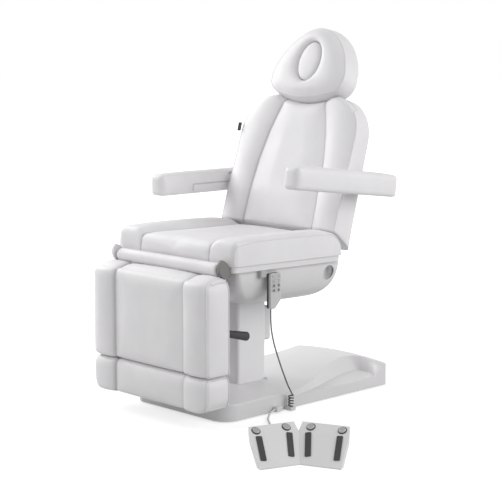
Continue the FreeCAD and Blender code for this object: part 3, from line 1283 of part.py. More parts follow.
def cord_glands():
    """Strain reliefs where the cords leave the base and the foot control, and the deck grommet."""
    x, y = HAND_CORD_ROUTE[-1][:2]
    z = (BASE_FLOOR_GAP, CURL_BOTTOM_Z)
    socket = rounded_block((base_side(y - 13) + SOFT_GAP, x + 13), around(y, 13), z, 4)
    x, y = FOOT_EXIT_X, FOOT_EXIT_Y
    span_x, span_y = (base_side(y) + SOFT_GAP, x + 9), (y + 3 * SOFT_GAP, y + 30)
    exit_gland = rounded_block(span_x, span_y, around(FOOT_EXIT_Z, 9), 4)
    end, before = Vector(*FOOT_CORD_ROUTE[-1]), Vector(*FOOT_CORD_ROUTE[-2])
    way = end - before
    way.normalize()
    pedal_gland = Part.makeCone(5, 8, 24, end + way * SOFT_GAP, way)
    place = (COLUMN_WIDTH / 2 + 7, COLUMN_Y + COLUMN_DEPTH / 2 - 4)
    grommet = bar(5, place + (DECK_EDGE_HEIGHT + 8,), place + (DECK_CROWN_HEIGHT + 6,))
    pedal = joined(both_pedals(box((-60, PEDAL_WIDTH), (0, STRIP_A + 1), (0, 60))))
    return Part.makeCompound([socket, exit_gland, pedal_gland.cut(pedal), grommet.cut(rear_cover())])


def build():
    """Every node of the chair, by name."""
    nodes = {
        "base_frame": base_frame(),
        "base_front_cover": front_cover(),
        "base_rear_cover": rear_cover(),
        "levelling_feet": levelling_feet(),
        "outer_column": outer_column(),
        "lift_motor": lift_motor(),
        "lift_spindle": lift_spindle(),
        "inner_column": inner_column(),
        "mast_head": mast_head(),
        "lift_nut_tube": lift_nut_tube(),
        "tilt_motor": tilt_motor(),
        "tilt_rod": tilt_rod(),
        "seat_frame": seat_frame(),
        "hinge_pins": hinge_pins(),
        "seat_pan": seat_pan(),
        "seat_cushion": seat_cushion(),
        "under_seat_shell": under_seat_shell(),
        "control_box": control_box(),
        "front_roll": front_roll(),
        "roll_end_caps": roll_end_caps(),
        "leg_motor": leg_motor(),
        "leg_rod": leg_rod(),
        "back_motor": back_motor(),
        "back_rod": back_rod(),
        "leg_frame": leg_frame(),
        "leg_cushion": leg_cushion(),
        "foot_frame": foot_frame(),
        "foot_cushion": foot_cushion(),
        "release_lever": release_lever(),
        "lever_grip": lever_grip(),
        "back_frame": back_frame(),
        "back_cushion": back_cushion(),
        "back_board": back_board(),
        "back_tab": back_tab(),
        "head_posts": head_posts(),
        "head_board": head_board(),
        "headrest_cushion": headrest_cushion(),
        "face_plug": face_plug(),
        "hand_control_case": hand_control_case(),
        "hand_control_hook": hand_control_hook(),
        "hand_cord": hand_cord(),
        "hand_cord_curl": hand_cord_curl(),
        "foot_cord": foot_cord(),
        "cord_glands": cord_glands(),
        "foot_control_case": foot_control_case(),
        "foot_control_strips": foot_control_strips(),
    }
    for side, name in ((1, "left"), (-1, "right")):
        nodes["arm_pad_" + name] = arm_pad(side)
        nodes["arm_bracket_" + name] = arm_bracket(side)
    for index, z in enumerate(KEY_ROWS_Z):
        nodes["hand_key_%d" % (index + 1)] = hand_key(z)
    for index in range(4):
        nodes["foot_button_%d" % (index + 1)] = foot_button(index)
    return nodes


os.makedirs("parts", exist_ok=True)
for node, shape in build().items():
    solids = len(shape.Solids)
    print(node, "solids", solids, "valid", shape.isValid(), "litres", round(shape.Volume / 1e6, 3))
    shape.exportStep("parts/%s.step" % node)
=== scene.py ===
"""Looks of the electric facial bed: upholstery, mouldings, controls, cords, studio and camera."""
from __future__ import annotations

import json
import logging
import math
from dataclasses import dataclass, field
from enum import Enum
from typing import Callable, Iterable, Sequence

import bpy
from mathutils import Matrix, Vector, noise

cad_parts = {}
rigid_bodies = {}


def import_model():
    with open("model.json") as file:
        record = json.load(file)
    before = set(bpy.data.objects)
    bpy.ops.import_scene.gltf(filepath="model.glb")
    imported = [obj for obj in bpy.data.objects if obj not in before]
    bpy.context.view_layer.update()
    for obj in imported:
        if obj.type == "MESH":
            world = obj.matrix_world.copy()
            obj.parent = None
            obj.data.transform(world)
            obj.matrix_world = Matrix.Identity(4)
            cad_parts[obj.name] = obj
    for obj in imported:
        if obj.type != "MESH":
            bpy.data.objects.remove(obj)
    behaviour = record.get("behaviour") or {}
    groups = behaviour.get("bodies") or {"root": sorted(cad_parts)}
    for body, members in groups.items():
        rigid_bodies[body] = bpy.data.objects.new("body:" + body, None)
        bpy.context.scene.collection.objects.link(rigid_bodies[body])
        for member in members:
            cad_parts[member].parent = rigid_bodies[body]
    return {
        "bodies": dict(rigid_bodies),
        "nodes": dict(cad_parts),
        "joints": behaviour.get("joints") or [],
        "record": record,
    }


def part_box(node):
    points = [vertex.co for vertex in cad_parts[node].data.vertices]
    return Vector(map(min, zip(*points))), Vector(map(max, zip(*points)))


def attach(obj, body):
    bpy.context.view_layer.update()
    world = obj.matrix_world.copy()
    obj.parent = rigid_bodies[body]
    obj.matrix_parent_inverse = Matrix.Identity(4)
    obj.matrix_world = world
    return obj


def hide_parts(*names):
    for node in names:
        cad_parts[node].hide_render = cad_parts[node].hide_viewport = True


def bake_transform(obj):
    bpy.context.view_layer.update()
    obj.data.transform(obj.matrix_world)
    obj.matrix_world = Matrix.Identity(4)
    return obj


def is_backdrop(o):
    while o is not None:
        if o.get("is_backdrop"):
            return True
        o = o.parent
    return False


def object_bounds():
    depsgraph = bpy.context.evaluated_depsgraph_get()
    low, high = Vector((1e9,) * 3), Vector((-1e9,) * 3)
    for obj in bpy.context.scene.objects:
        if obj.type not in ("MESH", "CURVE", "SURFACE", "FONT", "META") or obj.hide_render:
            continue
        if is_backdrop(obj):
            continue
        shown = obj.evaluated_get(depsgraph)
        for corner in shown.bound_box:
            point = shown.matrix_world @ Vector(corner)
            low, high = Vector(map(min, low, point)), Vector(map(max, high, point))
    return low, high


MM = 0.001
MERGE_DISTANCE = 0.00002
ROUND_SIDES = 48
NO_SEAM = 1000.0
# share of the colour left where painted shade fills the sewn seams
SEAM_SHADE = 0.55
GLOSS_SPREAD = 0.08
LOG = logging.getLogger("facial_bed")
Pair = tuple[float, float]
Point = tuple[float, float, float]
Colour = tuple[float, float, float]
DiscSize = tuple[float, float, float, float]
LatticeKey = tuple[int, int, int]


def clamp(value: float, low: float = 0.0, high: float = 1.0) -> float:
    """Value held between two limits."""
    return max(low, min(high, value))


def mix(first: float, last: float, share: float) -> float:
    """Value at a share of the way from first to last."""
    return first + (last - first) * share


def bump(distance: float, width: float) -> float:
    """Smooth bell of height one, narrow when width is small."""
    return math.exp(-((distance / width) ** 2))


def pillow(share: float) -> float:
    """Cross-section of a stuffed panel: nought at both seams and one in the middle."""
    return math.sqrt(max(0.0, 1.0 - (2.0 * clamp(share) - 1.0) ** 2))


def edge_drop(distance: float, radius: float) -> float:
    """How far a rounded edge falls away at a distance from it."""
    if distance >= radius:
        return 0.0
    return radius - math.sqrt(max(0.0, radius ** 2 - (radius - distance) ** 2))


def rgba(colour: Colour, share: float = 1.0) -> tuple[float, float, float, float]:
    """Opaque colour for a socket, darkened to a share of itself."""
    red, green, blue = colour
    return red * share, green * share, blue * share, 1.0


class Tools:
    """Small helpers around Blender's operators."""

    @staticmethod
    def only(obj: bpy.types.Object) -> None:
        """Makes one object the only selected and active one."""
        bpy.ops.object.select_all(action="DESELECT")
        obj.select_set(True)
        bpy.context.view_layer.objects.active = obj

    @staticmethod
    def add(name: str, data: bpy.types.ID) -> bpy.types.Object:
        """New object around its data, linked to the scene."""
        obj = bpy.data.objects.new(name, data)
        bpy.context.scene.collection.objects.link(obj)
        return obj

    @staticmethod
    def settle(obj: bpy.types.Object) -> None:
        """Applies the object's place to its mesh, so it sits at the origin."""
        Tools.only(obj)
        bpy.ops.object.transform_apply(location=True, rotation=True, scale=True)

    @staticmethod
    def outward(obj: bpy.types.Object, merge: bool = True) -> None:
        """Turns all faces outwards.

        Args:
            obj: mesh object.
            merge: whether doubles are merged first.
        """
        Tools.only(obj)
        bpy.ops.object.mode_set(mode="EDIT")
        bpy.ops.mesh.select_all(action="SELECT")
        if merge:
            bpy.ops.mesh.remove_doubles(threshold=MERGE_DISTANCE)
        bpy.ops.mesh.normals_make_consistent(inside=False)
        bpy.ops.object.mode_set(mode="OBJECT")

    @staticmethod
    def apply(obj: bpy.types.Object, kind: str, **values: object) -> None:
        """Adds a modifier with the given settings and applies it.

        Args:
            obj: piece that gets the modifier.
            kind: Blender's modifier type.
            values: settings of the modifier.
        """
        Tools.only(obj)
        modifier = obj.modifiers.new(kind.title(), kind)
        for name, value in values.items():
            setattr(modifier, name, value)
        bpy.ops.object.modifier_apply(modifier=modifier.name)

    @staticmethod
    def smooth(obj: bpy.types.Object, degrees: float = 40.0) -> None:
        """Shades smooth, with edges sharper than an angle kept crisp."""
        Tools.only(obj)
        bpy.ops.object.shade_smooth_by_angle(angle=math.radians(degrees))

    @staticmethod
    def join(main: bpy.types.Object, others: Iterable[bpy.types.Object]) -> bpy.types.Object:
        """Joins pieces into the main one.

        Args:
            main: object that keeps its name.
            others: objects that become part of it.

        Returns:
            The main object.
        """
        bpy.ops.object.select_all(action="DESELECT")
        for other in others:
            other.select_set(True)
        main.select_set(True)
        bpy.context.view_layer.objects.active = main
        bpy.ops.object.join()
        return main

    @staticmethod
    def from_faces(name: str, points: Sequence[Vector],
                   faces: Sequence[Sequence[int]]) -> bpy.types.Object:
        """Mesh object from points and faces, in metres.

        Args:
            name: name of the piece.
            points: vertex places.
            faces: vertex numbers of each face.

        Returns:
            The new object, linked to the scene.
        """
        mesh = bpy.data.meshes.new(name)
        mesh.from_pydata([tuple(point) for point in points], [], faces)
        mesh.update()
        return Tools.add(name, mesh)

    @staticmethod
    def ring_faces(rows: int, count: int) -> list[tuple[int, ...]]:
        """Quads between closed rings of points that follow each other.

        Args:
            rows: number of rings.
            count: points in each ring.

        Returns:
            Vertex numbers of each quad.
        """
        faces = []
        for row in range(rows - 1):
            here, there = row * count, (row + 1) * count
            for n in range(count):
                after = (n + 1) % count
                faces.append((here + n, here + after, there + after, there + n))
        return faces

    @staticmethod
    def curve(name: str, points: Sequence[Sequence[float]], radius: float, kind: str) -> bpy.types.Object:
        """Curve object of one spline, with a round section.

        Args:
            name: name of the object.
            points: the spline's points, in metres.
            radius: radius of its section in metres, or nought for a bare line.
            kind: Blender's spline type.

        Returns:
            The curve object.
        """
        curve = bpy.data.curves.new(name, "CURVE")
        curve.dimensions = "3D"
        curve.bevel_depth = radius
        spline = curve.splines.new(kind)
        spline.points.add(len(points) - 1)
        for target, point in zip(spline.points, points):
            target.co = (*point, 1.0)
        return Tools.add(name, curve)

    @staticmethod
    def tube(name: str, points: Sequence[Vector], radius: float, closed: bool) -> bpy.types.Object:
        """Round tube mesh along a line of points, used for welts and the hand control's cord.

        Args:
            name: name of the piece.
            points: line to follow, in metres.
            radius: tube radius in metres.
            closed: whether the line runs back to its start.

        Returns:
            The mesh object.
        """
        obj = Tools.curve(name, points, radius, "POLY")
        obj.data.bevel_resolution = 2
        obj.data.use_fill_caps = not closed
        obj.data.splines[0].use_cyclic_u = closed
        Tools.only(obj)
        bpy.ops.object.convert(target="MESH")
        return bpy.context.view_layer.objects.active

    @staticmethod
    def disc(name: str, centre: Vector, axis: Vector, size: DiscSize) -> bpy.types.Object:
        """Round boss with its outer face inset and pressed in.

        Args:
            name: name of the piece.
            centre: middle of the boss, in metres.
            axis: direction that its face looks in.
            size: radius, depth, rim and dish, in millimetres.

        Returns:
            The mesh object at the origin.
        """
        radius, depth, rim, dish = (part * MM for part in size)
        facing, bevel_share = 0.9, 0.4
        bpy.ops.object.select_all(action="DESELECT")
        turn = axis.to_track_quat("Z", "Y").to_euler()
        bpy.ops.mesh.primitive_cylinder_add(vertices=ROUND_SIDES, radius=radius, depth=depth,
                                            location=centre, rotation=turn)
        obj = bpy.context.active_object
        obj.name = name
        Tools.settle(obj)
        for polygon in obj.data.polygons:
            polygon.select = polygon.normal.dot(axis) > facing
        bpy.ops.object.mode_set(mode="EDIT")
        bpy.ops.mesh.select_mode(type="FACE")
        bpy.ops.mesh.inset(thickness=rim)
        bpy.ops.transform.translate(value=axis.normalized() * -dish)
        bpy.ops.object.mode_set(mode="OBJECT")
        Tools.apply(obj, "BEVEL", width=min(rim, dish) * bevel_share, segments=3, limit_method="ANGLE")
        Tools.smooth(obj)
        return obj


class Nodes:
    """Short ways to build node trees."""

    @staticmethod
    def add(tree: bpy.types.NodeTree, kind: str, values: dict[str | int, object] | None = None,
            **settings: object) -> bpy.types.Node:
        """New shader node.

        Args:
            tree: node tree that gets it.
            kind: Blender's node type, without its prefix.
            values: input values by the sockets' names or numbers.
            settings: properties of the node, set before the values.

        Returns:
            The node.
        """
        node = tree.nodes.new("ShaderNode" + kind)
        for name, value in settings.items():
            setattr(node, name, value)
        for name, value in (values or {}).items():
            node.inputs[name].default_value = value
        return node

    @staticmethod
    def seen(tree: bpy.types.NodeTree) -> bpy.types.NodeSocket:
        """Mask of the rays that see the background: from the camera or off a glossy surface.

        Args:
            tree: node tree of a stage material or of the world.

        Returns:
            The socket with the mask.
        """
        path = Nodes.add(tree, "LightPath")
        either = Nodes.add(tree, "Math", operation="MAXIMUM")
        tree.links.new(path.outputs["Is Camera Ray"], either.inputs[0])
        tree.links.new(path.outputs["Is Glossy Ray"], either.inputs[1])
        return either.outputs[0]


class Surface(Enum):
    """Kinds of surface that the finishes are built from."""

    UPHOLSTERY = "upholstery"
    MOULDING = "moulding"
    PAINT = "paint"
    METAL = "metal"
    RUBBER = "rubber"


class Groups:
    """Shader node groups shared by the finishes."""

    @staticmethod
    def new(name: str, inputs: Sequence[tuple[str, str, object]],
            outputs: Sequence[tuple[str, str]]) -> bpy.types.NodeTree:
        """Empty group with named sockets.

        Args:
            name: name of the group.
            inputs: name, socket type and default of each input.
            outputs: name and socket type of each output.

        Returns:
            The node tree, with its input and output nodes called In and Out.
        """
        tree = bpy.data.node_groups.new(name, "ShaderNodeTree")
        for label, kind, default in inputs:
            socket = tree.interface.new_socket(label, in_out="INPUT", socket_type=kind)
            if default is not None:
                socket.default_value = default
        for label, kind in outputs:
            tree.interface.new_socket(label, in_out="OUTPUT", socket_type=kind)
        tree.nodes.new("NodeGroupInput").name = "In"
        tree.nodes.new("NodeGroupOutput").name = "Out"
        return tree

    @staticmethod
    def shared(make: Callable[[], bpy.types.NodeTree]) -> bpy.types.NodeTree:
        """Group of one of the makers below, made on the first call and reused after it."""
        return bpy.data.node_groups.get(make.__name__) or make()

    @staticmethod
    def hide_grain() -> bpy.types.NodeTree:
        """Pebbled skin of coated upholstery: small cells, finer pores and slow puckers.

        Returns:
            A group that puts out a height.
        """
        tree = Groups.new("hide_grain",
                          [("Vector", "NodeSocketVector", None), ("Scale", "NodeSocketFloat", 420.0)],
                          [("Height", "NodeSocketFloat")])
        nodes, links = tree.nodes, tree.links
        cells = Nodes.add(tree, "TexVoronoi", {"Smoothness": 0.5}, feature="SMOOTH_F1")
        pores = Nodes.add(tree, "TexNoise", {"Scale": 1300.0, "Detail": 3.0})
        slow = Nodes.add(tree, "TexNoise", {"Scale": 16.0, "Detail": 4.0})
        for texture in (cells, pores, slow):
            links.new(nodes["In"].outputs["Vector"], texture.inputs["Vector"])
        links.new(nodes["In"].outputs["Scale"], cells.inputs["Scale"])
        skin = Nodes.add(tree, "Math", {1: 0.35}, operation="MULTIPLY_ADD")
        links.new(pores.outputs["Fac"], skin.inputs[0])
        links.new(cells.outputs["Distance"], skin.inputs[2])
        total = Nodes.add(tree, "Math", {1: 3.0}, operation="MULTIPLY_ADD")
        links.new(slow.outputs["Fac"], total.inputs[0])
        links.new(skin.outputs[0], total.inputs[2])
        links.new(total.outputs[0], nodes["Out"].inputs["Height"])
        return tree

    @staticmethod
    def uneven_tone() -> bpy.types.NodeTree:
        """Slow drift of a colour between two shades, as on handled or moulded surfaces.

        Returns:
            A group that puts out a colour and the drift mask.
        """
        tree = Groups.new("uneven_tone",
                          [("Vector", "NodeSocketVector", None), ("Light", "NodeSocketColor", None),
                           ("Dark", "NodeSocketColor", None), ("Scale", "NodeSocketFloat", 5.0)],
                          [("Color", "NodeSocketColor"), ("Mask", "NodeSocketFloat")])
        nodes, links = tree.nodes, tree.links
        drift = Nodes.add(tree, "TexNoise", {"Detail": 5.0, "Roughness": 0.6})
        links.new(nodes["In"].outputs["Vector"], drift.inputs["Vector"])
        links.new(nodes["In"].outputs["Scale"], drift.inputs["Scale"])
        spread = Nodes.add(tree, "MapRange", {"From Min": 0.35, "From Max": 0.65})
        links.new(drift.outputs["Fac"], spread.inputs["Value"])
        blend = Nodes.add(tree, "Mix", data_type="RGBA")
        links.new(spread.outputs["Result"], blend.inputs["Factor"])
        links.new(nodes["In"].outputs["Light"], blend.inputs["A"])
        links.new(nodes["In"].outputs["Dark"], blend.inputs["B"])
        links.new(blend.outputs["Result"], nodes["Out"].inputs["Color"])
        links.new(spread.outputs["Result"], nodes["Out"].inputs["Mask"])
        return tree

    @staticmethod
    def orange_peel() -> bpy.types.NodeTree:
        """Fine moulded or sprayed skin.

        Returns:
            A group that puts out a height.
        """
        tree = Groups.new("orange_peel",
                          [("Vector", "NodeSocketVector", None), ("Scale", "NodeSocketFloat", 500.0)],
                          [("Height", "NodeSocketFloat")])
        nodes, links = tree.nodes, tree.links
        skin = Nodes.add(tree, "TexNoise", {"Detail": 2.0})
        links.new(nodes["In"].outputs["Vector"], skin.inputs["Vector"])
        links.new(nodes["In"].outputs["Scale"], skin.inputs["Scale"])
        links.new(skin.outputs["Fac"], nodes["Out"].inputs["Height"])
        return tree


@dataclass(frozen=True)
class Finish:
    """One surface finish, built once as a node material."""

    name: str
    surface: Surface
    colour: Colour
    roughness: float
    grain: float = 500.0
    depth: float = 0.05
    metallic: float = 0.0
    shade: float = 0.9
    drift: float = 5.0

    def material(self) -> bpy.types.Material:
        """Node material of this finish.

        Returns:
            The material, made on the first call and reused after it.
        """
        if self.name in bpy.data.materials:
            return bpy.data.materials[self.name]
        material = bpy.data.materials.new(self.name)
        material.use_nodes = True
        tree, links = material.node_tree, material.node_tree.links
        shader = tree.nodes["Principled BSDF"]
        shader.inputs["Metallic"].default_value = self.metallic
        place = Nodes.add(tree, "TexCoord")
        shades = {"Light": rgba(self.colour), "Dark": rgba(self.colour, self.shade), "Scale": self.drift}
        tone = Nodes.add(tree, "Group", shades, node_tree=Groups.shared(Groups.uneven_tone))
        links.new(place.outputs["Object"], tone.inputs["Vector"])
        self.colour_in(tree, tone.outputs["Color"])
        gloss = Nodes.add(tree, "MapRange", {"To Min": self.roughness * (1.0 - GLOSS_SPREAD),
                                             "To Max": min(1.0, self.roughness * (1.0 + GLOSS_SPREAD))})
        links.new(tone.outputs["Mask"], gloss.inputs["Value"])
        links.new(gloss.outputs["Result"], shader.inputs["Roughness"])
        kind = Groups.hide_grain if self.surface is Surface.UPHOLSTERY else Groups.orange_peel
        skin = Nodes.add(tree, "Group", {"Scale": self.grain}, node_tree=Groups.shared(kind))
        links.new(self.grain_vector(tree, place), skin.inputs["Vector"])
        relief = Nodes.add(tree, "Bump", {"Strength": self.depth, "Distance": 1.0 * MM})
        links.new(skin.outputs["Height"], relief.inputs["Height"])
        links.new(relief.outputs["Normal"], shader.inputs["Normal"])
        return material

    def colour_in(self, tree: bpy.types.NodeTree, colour: bpy.types.NodeSocket) -> None:
        """Leads the colour to the shader; on upholstery, painted shade darkens the sewn seams.

        Args:
            tree: nodes of the material that is being built.
            colour: socket with the drifting colour.
        """
        base = tree.nodes["Principled BSDF"].inputs["Base Color"]
        if self.surface is not Surface.UPHOLSTERY:
            tree.links.new(colour, base)
            return
        # painted shade: the seam attribute mixes the colour towards a darker copy in the sewn channels
        seam = Nodes.add(tree, "Attribute", attribute_name="seam")
        shadow = Nodes.add(tree, "Mix", {"B": rgba(self.colour, SEAM_SHADE)}, data_type="RGBA")
        tree.links.new(seam.outputs["Fac"], shadow.inputs["Factor"])
        tree.links.new(colour, shadow.inputs["A"])
        tree.links.new(shadow.outputs["Result"], base)

    def grain_vector(self, tree: bpy.types.NodeTree, place: bpy.types.Node) -> bpy.types.NodeSocket:
        """Coordinates of the grain, stretched along X on brushed metal.

        Args:
            tree: nodes of the material that is being built.
            place: its texture coordinate node.

        Returns:
            The socket to read the grain's place from.
        """
        if self.surface is not Surface.METAL:
            return place.outputs["Object"]
        stretch = Nodes.add(tree, "Mapping", {"Scale": (0.03, 1.0, 1.0)})
        tree.links.new(place.outputs["Object"], stretch.inputs["Vector"])
        return stretch.outputs["Vector"]

    def dress(self, obj: bpy.types.Object) -> None:
        """Gives the whole object this finish."""
        obj.data.materials.clear()
        obj.data.materials.append(self.material())


@dataclass(frozen=True)
class SplitFinish(Finish):
    """Finish in two colours that meet at a plane across X, as on a two-part case."""

    second: Colour = (0.1, 0.1, 0.1)
    limit: float = 0.0

    def colour_in(self, tree: bpy.types.NodeTree, colour: bpy.types.NodeSocket) -> None:
        """Leads the colour to the shader, with the second one below the limit.

        Args:
            tree: nodes of the material that is being built.
            colour: socket with the drifting first colour.
        """
        place = Nodes.add(tree, "TexCoord")
        axes = Nodes.add(tree, "SeparateXYZ")
        tree.links.new(place.outputs["Object"], axes.inputs["Vector"])
        below = Nodes.add(tree, "Math", {1: self.limit}, operation="LESS_THAN")
        tree.links.new(axes.outputs["X"], below.inputs[0])
        both = Nodes.add(tree, "Mix", {"B": rgba(self.second)}, data_type="RGBA")
        tree.links.new(below.outputs[0], both.inputs["Factor"])
        tree.links.new(colour, both.inputs["A"])
        tree.links.new(both.outputs["Result"], tree.nodes["Principled BSDF"].inputs["Base Color"])


@dataclass(frozen=True)
class Finishes:
    """All finishes of the chair."""

    upholstery: Finish = Finish("coated_upholstery", Surface.UPHOLSTERY, (0.80, 0.787, 0.80), 0.46,
                                430.0, 0.16, shade=0.955, drift=7.0)
    welt: Finish = Finish("welt_piping", Surface.UPHOLSTERY, (0.72, 0.705, 0.72), 0.5,
                          600.0, 0.12, shade=0.94)
    moulding: Finish = Finish("moulded_white", Surface.MOULDING, (0.73, 0.72, 0.73), 0.36,
                              700.0, 0.035, shade=0.97)
    column: Finish = Finish("column_paint", Surface.PAINT, (0.81, 0.80, 0.81), 0.33,
                            420.0, 0.04, shade=0.97)
    frame: Finish = Finish("painted_frame", Surface.PAINT, (0.52, 0.52, 0.54), 0.4,
                           420.0, 0.06, shade=0.9)
    steel: Finish = Finish("brushed_steel", Surface.METAL, (0.62, 0.62, 0.64), 0.32,
                           900.0, 0.10, metallic=1.0)
    silver: Finish = Finish("silver_button", Surface.METAL, (0.36, 0.36, 0.365), 0.36,
                            900.0, 0.06, metallic=0.9)
    collar: Finish = Finish("button_collar", Surface.METAL, (0.12, 0.12, 0.125), 0.4,
                            900.0, 0.06, metallic=0.8)
    rubber: Finish = Finish("moulded_rubber", Surface.RUBBER, (0.035, 0.035, 0.038), 0.62,
                            900.0, 0.10, shade=0.8)
    dark: Finish = Finish("moulded_dark", Surface.MOULDING, (0.10, 0.10, 0.105), 0.5,
                          800.0, 0.06, shade=0.85)
    cap: Finish = SplitFinish("leaf_cap", Surface.MOULDING, (0.19, 0.185, 0.18), 0.45,
                              800.0, 0.05, shade=0.9, second=(0.80, 0.787, 0.80))
    control: Finish = SplitFinish("control_case", Surface.MOULDING, (0.56, 0.55, 0.56), 0.42,
                                  800.0, 0.05, shade=0.94, second=(0.06, 0.06, 0.065), limit=0.3035)
    key_light: Finish = Finish("key_light", Surface.MOULDING, (0.44, 0.435, 0.44), 0.45,
                               800.0, 0.05, shade=0.93)
    key_face: Finish = Finish("key_face", Surface.MOULDING, (0.54, 0.53, 0.54), 0.45,
                              800.0, 0.05, shade=0.94)
    key_dark: Finish = Finish("key_ring", Surface.MOULDING, (0.17, 0.17, 0.18), 0.45,
                              800.0, 0.05, shade=0.9)
    board: Finish = Finish("rear_board", Surface.UPHOLSTERY, (0.72, 0.71, 0.71), 0.55,
                           600.0, 0.12, shade=0.94)
    tab: Finish = Finish("woven_tab", Surface.RUBBER, (0.02, 0.02, 0.02), 0.85,
                         1500.0, 0.3, shade=0.7)
    cord_dark: Finish = Finish("cord_black_cover", Surface.RUBBER, (0.11, 0.11, 0.115), 0.5,
                               900.0, 0.06, shade=0.85)
    cord_white: Finish = Finish("cord_white_cover", Surface.RUBBER, (0.70, 0.70, 0.70), 0.5,
                                900.0, 0.06, shade=0.93)


FINISH = Finishes()


class Upholstery:
    """Steps that all padded pieces share."""

    @staticmethod
    def cover(obj: bpy.types.Object, degrees: float = 60.0) -> None:
        """Rounds a pad's mesh once and gives it the upholstery."""
        Tools.apply(obj, "SUBSURF", levels=1, render_levels=1)
        Tools.smooth(obj, degrees)
        FINISH.upholstery.dress(obj)

    @staticmethod
    def welt(name: str, line: Sequence[Vector], radius: float) -> bpy.types.Object:
        """Closed piping along a sewn edge.

        Args:
            name: name of the piece.
            line: points of the edge, in metres.
            radius: radius of the piping, in millimetres.

        Returns:
            The mesh object.
        """
        cord = Tools.tube(name, line, radius * MM, True)
        FINISH.welt.dress(cord)
        Tools.smooth(cord, 60.0)
        return cord

    @staticmethod
    def register(obj: bpy.types.Object, node: str, body: str, fill: float) -> None:
        """Hides the solid that the pad stands for and puts the pad on the body that it moves with.

        Args:
            obj: finished pad.
            node: solid that it replaces.
            body: body that it rides on.
            fill: not used.
        """
        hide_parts(node)
        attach(obj, body)
        LOG.info("pad %s", obj.name)


@dataclass(frozen=True)
class Lean:
    """Frame of the leaning backrest: x across, d behind the front face, h up the back."""

    foot_y: float = 46.0
    foot_z: float = 614.0
    degrees: float = 15.0

    def point(self, x: float, d: float, h: float) -> Vector:
        """Place in metres of a point of the backrest's own frame."""
        cos, sin = math.cos(math.radians(self.degrees)), math.sin(math.radians(self.degrees))
        return Vector((x, self.foot_y + d * cos + h * sin, self.foot_z - d * sin + h * cos)) * MM


LEAN = Lean()


@dataclass(frozen=True)
class HeadLean:
    """Frame of the headrest, leaned further back than the backrest about its own hinge."""

    pin_d: float = 138.0
    pin_h: float = 548.0
    degrees: float = 8.0

    def point(self, x: float, d: float, h: float) -> Vector:
        """Place in metres of a point of the headrest's own frame."""
        cos, sin = math.cos(math.radians(self.degrees)), math.sin(math.radians(self.degrees))
        over, up = d - self.pin_d, h - self.pin_h
        return LEAN.point(x, self.pin_d + over * cos + up * sin, self.pin_h - over * sin + up * cos)


HEAD_LEAN = HeadLean()


def stations(length: float, step: float, fine: Sequence[float] = (),
             near: Sequence[float] = (3.0, 8.0)) -> list[float]:
    """Shares along a length for the rows of a pad: even steps, closer at the ends and at seams.

    Args:
        length: length in millimetres.
        step: even spacing.
        fine: places that need rows of their own.
        near: distances from each such place, and from both ends, that get a row.

    Returns:
        Sorted shares from nought to one.
    """
    clear_share = 0.45
    marks = set()
    for place in (0.0, length, *fine):
        marks.add(place)
        for gap in near:
            marks.update((place - gap, place + gap))
    marks = {mark for mark in marks if 0.0 <= mark <= length}
    keep = sorted(marks)
    count = max(1, round(length / step))
    for index in range(1, count):
        mark = length * index / count
        if min(abs(mark - other) for other in keep) > step * clear_share:
            marks.add(mark)
    return [mark / length for mark in sorted(marks)]


def round_corner(x: float, z: float, half_x: float, half_z: float, radius: float) -> Pair:
    """Moves a point of a rectangle so that the rectangle's corners become round.

    Args:
        x: place across, from the middle.
        z: place along, from the middle.
        half_x: half the width.
        half_z: half the length.
        radius: corner radius.

    Returns:
        The moved place.
    """
    over_x, over_z = abs(x) - (half_x - radius), abs(z) - (half_z - radius)
    if over_x <= 0 or over_z <= 0:
        return x, z
    new_x = over_x * math.sqrt(1 - over_z ** 2 / (2 * radius ** 2))
    new_z = over_z * math.sqrt(1 - over_x ** 2 / (2 * radius ** 2))
    return math.copysign(half_x - radius + new_x, x), math.copysign(half_z - radius + new_z, z)


